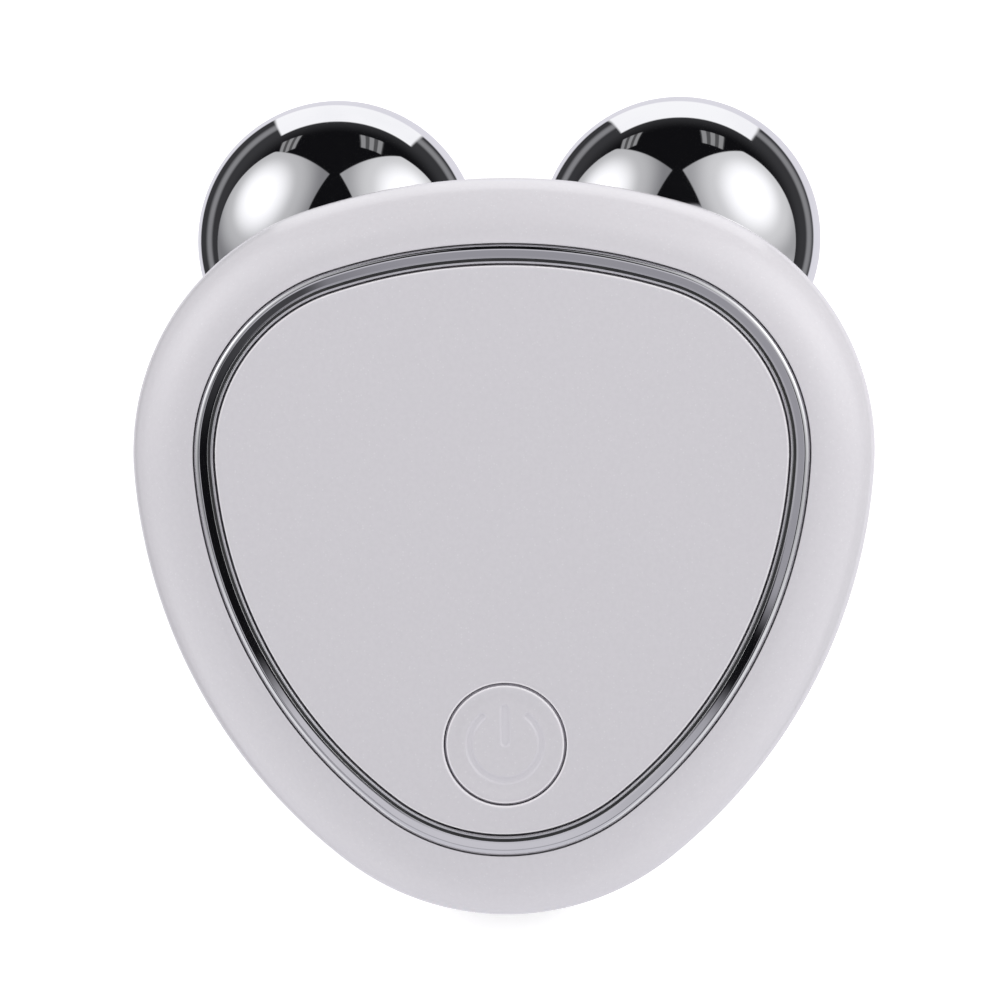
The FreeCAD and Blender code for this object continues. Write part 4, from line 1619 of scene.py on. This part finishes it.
    def draw(self, sheet: NodeSheet, right: Vector, up: Vector, back: Vector) -> Wire:
        """Draws the room on the world's sheet.

        Args:
            sheet: The world's sheet.
            right: The studio's X in the object's frame.
            up: The studio's Y.
            back: The studio's Z, towards the photograph's camera.

        Returns:
            The tone in the ray's direction.
        """
        direction = sheet.add("ShaderNodeTexCoord", output="Generated")
        x, y, z = (self.along(sheet, direction, tuple(axis)) for axis in (right, up, back))
        ray = sheet.add("ShaderNodeCombineXYZ", None, {0: x, 1: y, 2: z})
        depth = -z
        tone = sheet.blend(depth.ramp(*self.shade_depth), self.dark, self.shade)
        streak = depth.ramp(*self.streak_start) * (1.0 - depth.ramp(*self.streak_end))
        tone = sheet.blend(streak, tone, self.streak)
        for lamp in self.tube_lamps:
            tone = sheet.blend(self.tubes(sheet, ray, lamp), tone, self.tube)
        side = y - self.sweep_slope * x.size() + self.sweep_lean * x
        tone = sheet.blend(depth.ramp(*self.sweep_depth) * side.ramp(*self.sweep_side), tone, self.sweep)
        tone = sheet.blend((depth + self.haze_lean * x).ramp(*self.haze_depth), tone, self.haze)
        tone = sheet.blend((-y).ramp(*self.table_drop), tone, self.table)
        near = z.ramp(*self.wall_near) * (1.0 - y.ramp(*self.wall_top))
        tone = sheet.blend(near, tone, self.wall(sheet, ray, x, y))
        return self.softboxes(sheet, tone, x, y, z)


@dataclass
class Studio:
    """White floor, soft light, the room that the chrome mirrors, and the camera.

    Lamps and floor are in metres and watts in the object's frame. The camera is in millimetres in the case's
    axes, with its angles in radians.
    """

    place: Matrix
    room: MirrorRoom = MirrorRoom()
    floor_half: float = 4.0
    floor_tone: Colour = (0.9, 0.9, 0.9)
    floor_glow: Colour = (0.45, 0.45, 0.45)
    ambient: Colour = (0.815, 0.815, 0.815)
    left_power: float = 0.11
    right_power: float = 0.19
    lamp_towards: Direction = (0.72, 0.42, 0.55)
    lamp_distance: float = 0.2
    lamp_size: float = 0.25
    lamp_tint: Colour = (1.0, 0.995, 0.95)
    camera_lens: float = 310.7
    camera_sensor: float = 36.0
    camera_clip: Span = (0.01, 20.0)
    camera_distance: float = 700.0
    camera_target: Direction = (0.0, -7.8, 0.0)
    camera_shift: Span = (-0.434, 3.747)
    camera_tilt: float = 0.044
    camera_swing: float = 0.0288
    camera_roll: float = -0.0121

    def camera_axes(self) -> tuple[Vector, Vector, Vector]:
        """The camera's axes, from its tilt, swing and roll.

        Returns:
            Its right, up and back in the case's axes.
        """
        tilt, swing = self.camera_tilt, self.camera_swing
        back = Vector((math.sin(swing), math.sin(tilt) * math.cos(swing), math.cos(tilt) * math.cos(swing)))
        level = Vector((0.0, 1.0, 0.0)).cross(back).normalized()
        right = Matrix.Rotation(self.camera_roll, 3, back) @ level
        return right, back.cross(right), back

    def world(self) -> None:
        """White to the camera, the mirrored room to the chrome, and an even soft light to everything else."""
        world = bpy.data.worlds.new("studio")
        bpy.context.scene.world = world
        sheet = NodeSheet(world)
        turn = self.place.to_3x3().normalized()
        room = self.room.draw(sheet, *(turn @ axis for axis in self.camera_axes()))
        is_mirror = sheet.add("ShaderNodeLightPath", output="Is Glossy Ray")
        is_camera = sheet.add("ShaderNodeLightPath", output="Is Camera Ray")
        is_glass = sheet.add("ShaderNodeLightPath", output="Is Transmission Ray")
        tone = sheet.blend(is_mirror, self.ambient, room)
        tone = sheet.blend(is_camera.larger(is_glass), tone, WHITE)
        sheet.finish(sheet.add("ShaderNodeBackground", None, {"Color": tone, "Strength": 1.0}))

    def floor(self) -> None:
        """Pale floor, lit from below as a light table is, that keeps the object's shadow."""
        deselect_all()
        bpy.ops.mesh.primitive_plane_add(size=2 * self.floor_half, location=ORIGIN)
        floor = bpy.context.object
        floor.name = "floor"
        material = bpy.data.materials.new("pale_floor")
        sheet = NodeSheet(material)
        paper = sheet.add("ShaderNodeBsdfDiffuse", None, {"Color": self.floor_tone})
        glow = sheet.add("ShaderNodeEmission", None, {"Color": self.floor_glow, "Strength": 1.0})
        sheet.finish(sheet.add("ShaderNodeAddShader", None, {0: paper, 1: glow}))
        floor.data.materials.append(material)
        floor.visible_glossy = False

    def lamp(self, side: Side, power: float) -> None:
        """Adds one soft square lamp that shines at the object and that mirrors don't see.

        Args:
            side: The side that it stands on.
            power: Its power, in watts.
        """
        name = f"{side.label}_lamp"
        x, y, z = self.lamp_towards
        towards = Vector((side.value * x, y, z)).normalized()
        light = bpy.data.lights.new(name, "AREA")
        light.shape = "SQUARE"
        light.size = self.lamp_size
        light.energy = power
        light.color = self.lamp_tint
        holder = bpy.data.objects.new(name, light)
        bpy.context.scene.collection.objects.link(holder)
        holder.location = towards * self.lamp_distance
        holder.rotation_mode = "QUATERNION"
        holder.rotation_quaternion = (-towards).to_track_quat("-Z", "Y")
        holder.visible_glossy = False
        holder.visible_camera = False

    def camera(self) -> None:
        """The photograph's camera, nearly square to the front panel."""
        right, up, back = self.camera_axes()
        spot = Vector(self.camera_target) + back * self.camera_distance
        spot += right * self.camera_shift[0] + up * self.camera_shift[1]
        pose = Matrix((right, up, back)).transposed().to_4x4()
        pose.translation = spot
        data = bpy.data.cameras.new("camera")
        data.lens = self.camera_lens
        data.sensor_width = self.camera_sensor
        data.clip_start, data.clip_end = self.camera_clip
        camera = bpy.data.objects.new("camera", data)
        bpy.context.scene.collection.objects.link(camera)
        location, rotation, _ = (self.place @ pose).decompose()
        camera.location = location
        camera.rotation_mode = "QUATERNION"
        camera.rotation_quaternion = rotation
        bpy.context.scene.camera = camera

    def build(self) -> None:
        """Sets the whole studio up."""
        bpy.context.scene.view_settings.view_transform = "Standard"
        self.world()
        self.floor()
        self.lamp(Side.LEFT, self.left_power)
        self.lamp(Side.RIGHT, self.right_power)
        self.camera()
        log.info("studio ready")


def main() -> None:
    """Builds every sub-assembly, dresses the rest of the model and sets up the studio."""
    logging.basicConfig(level=logging.INFO, format="%(name)s: %(message)s")
    stack = FrontStack()
    place = case_place(frame["record"], stack.crest)
    for assembly in (FrontShell(stack), TrimRing(stack), FrontPanel(stack), PowerButton(stack)):
        assembly.build(place)
    RollerPair(frame["joints"]).build()
    dress_nodes(frame["nodes"])
    Studio(place).build()
    deselect_all()


if __name__ == "__main__":
    main()
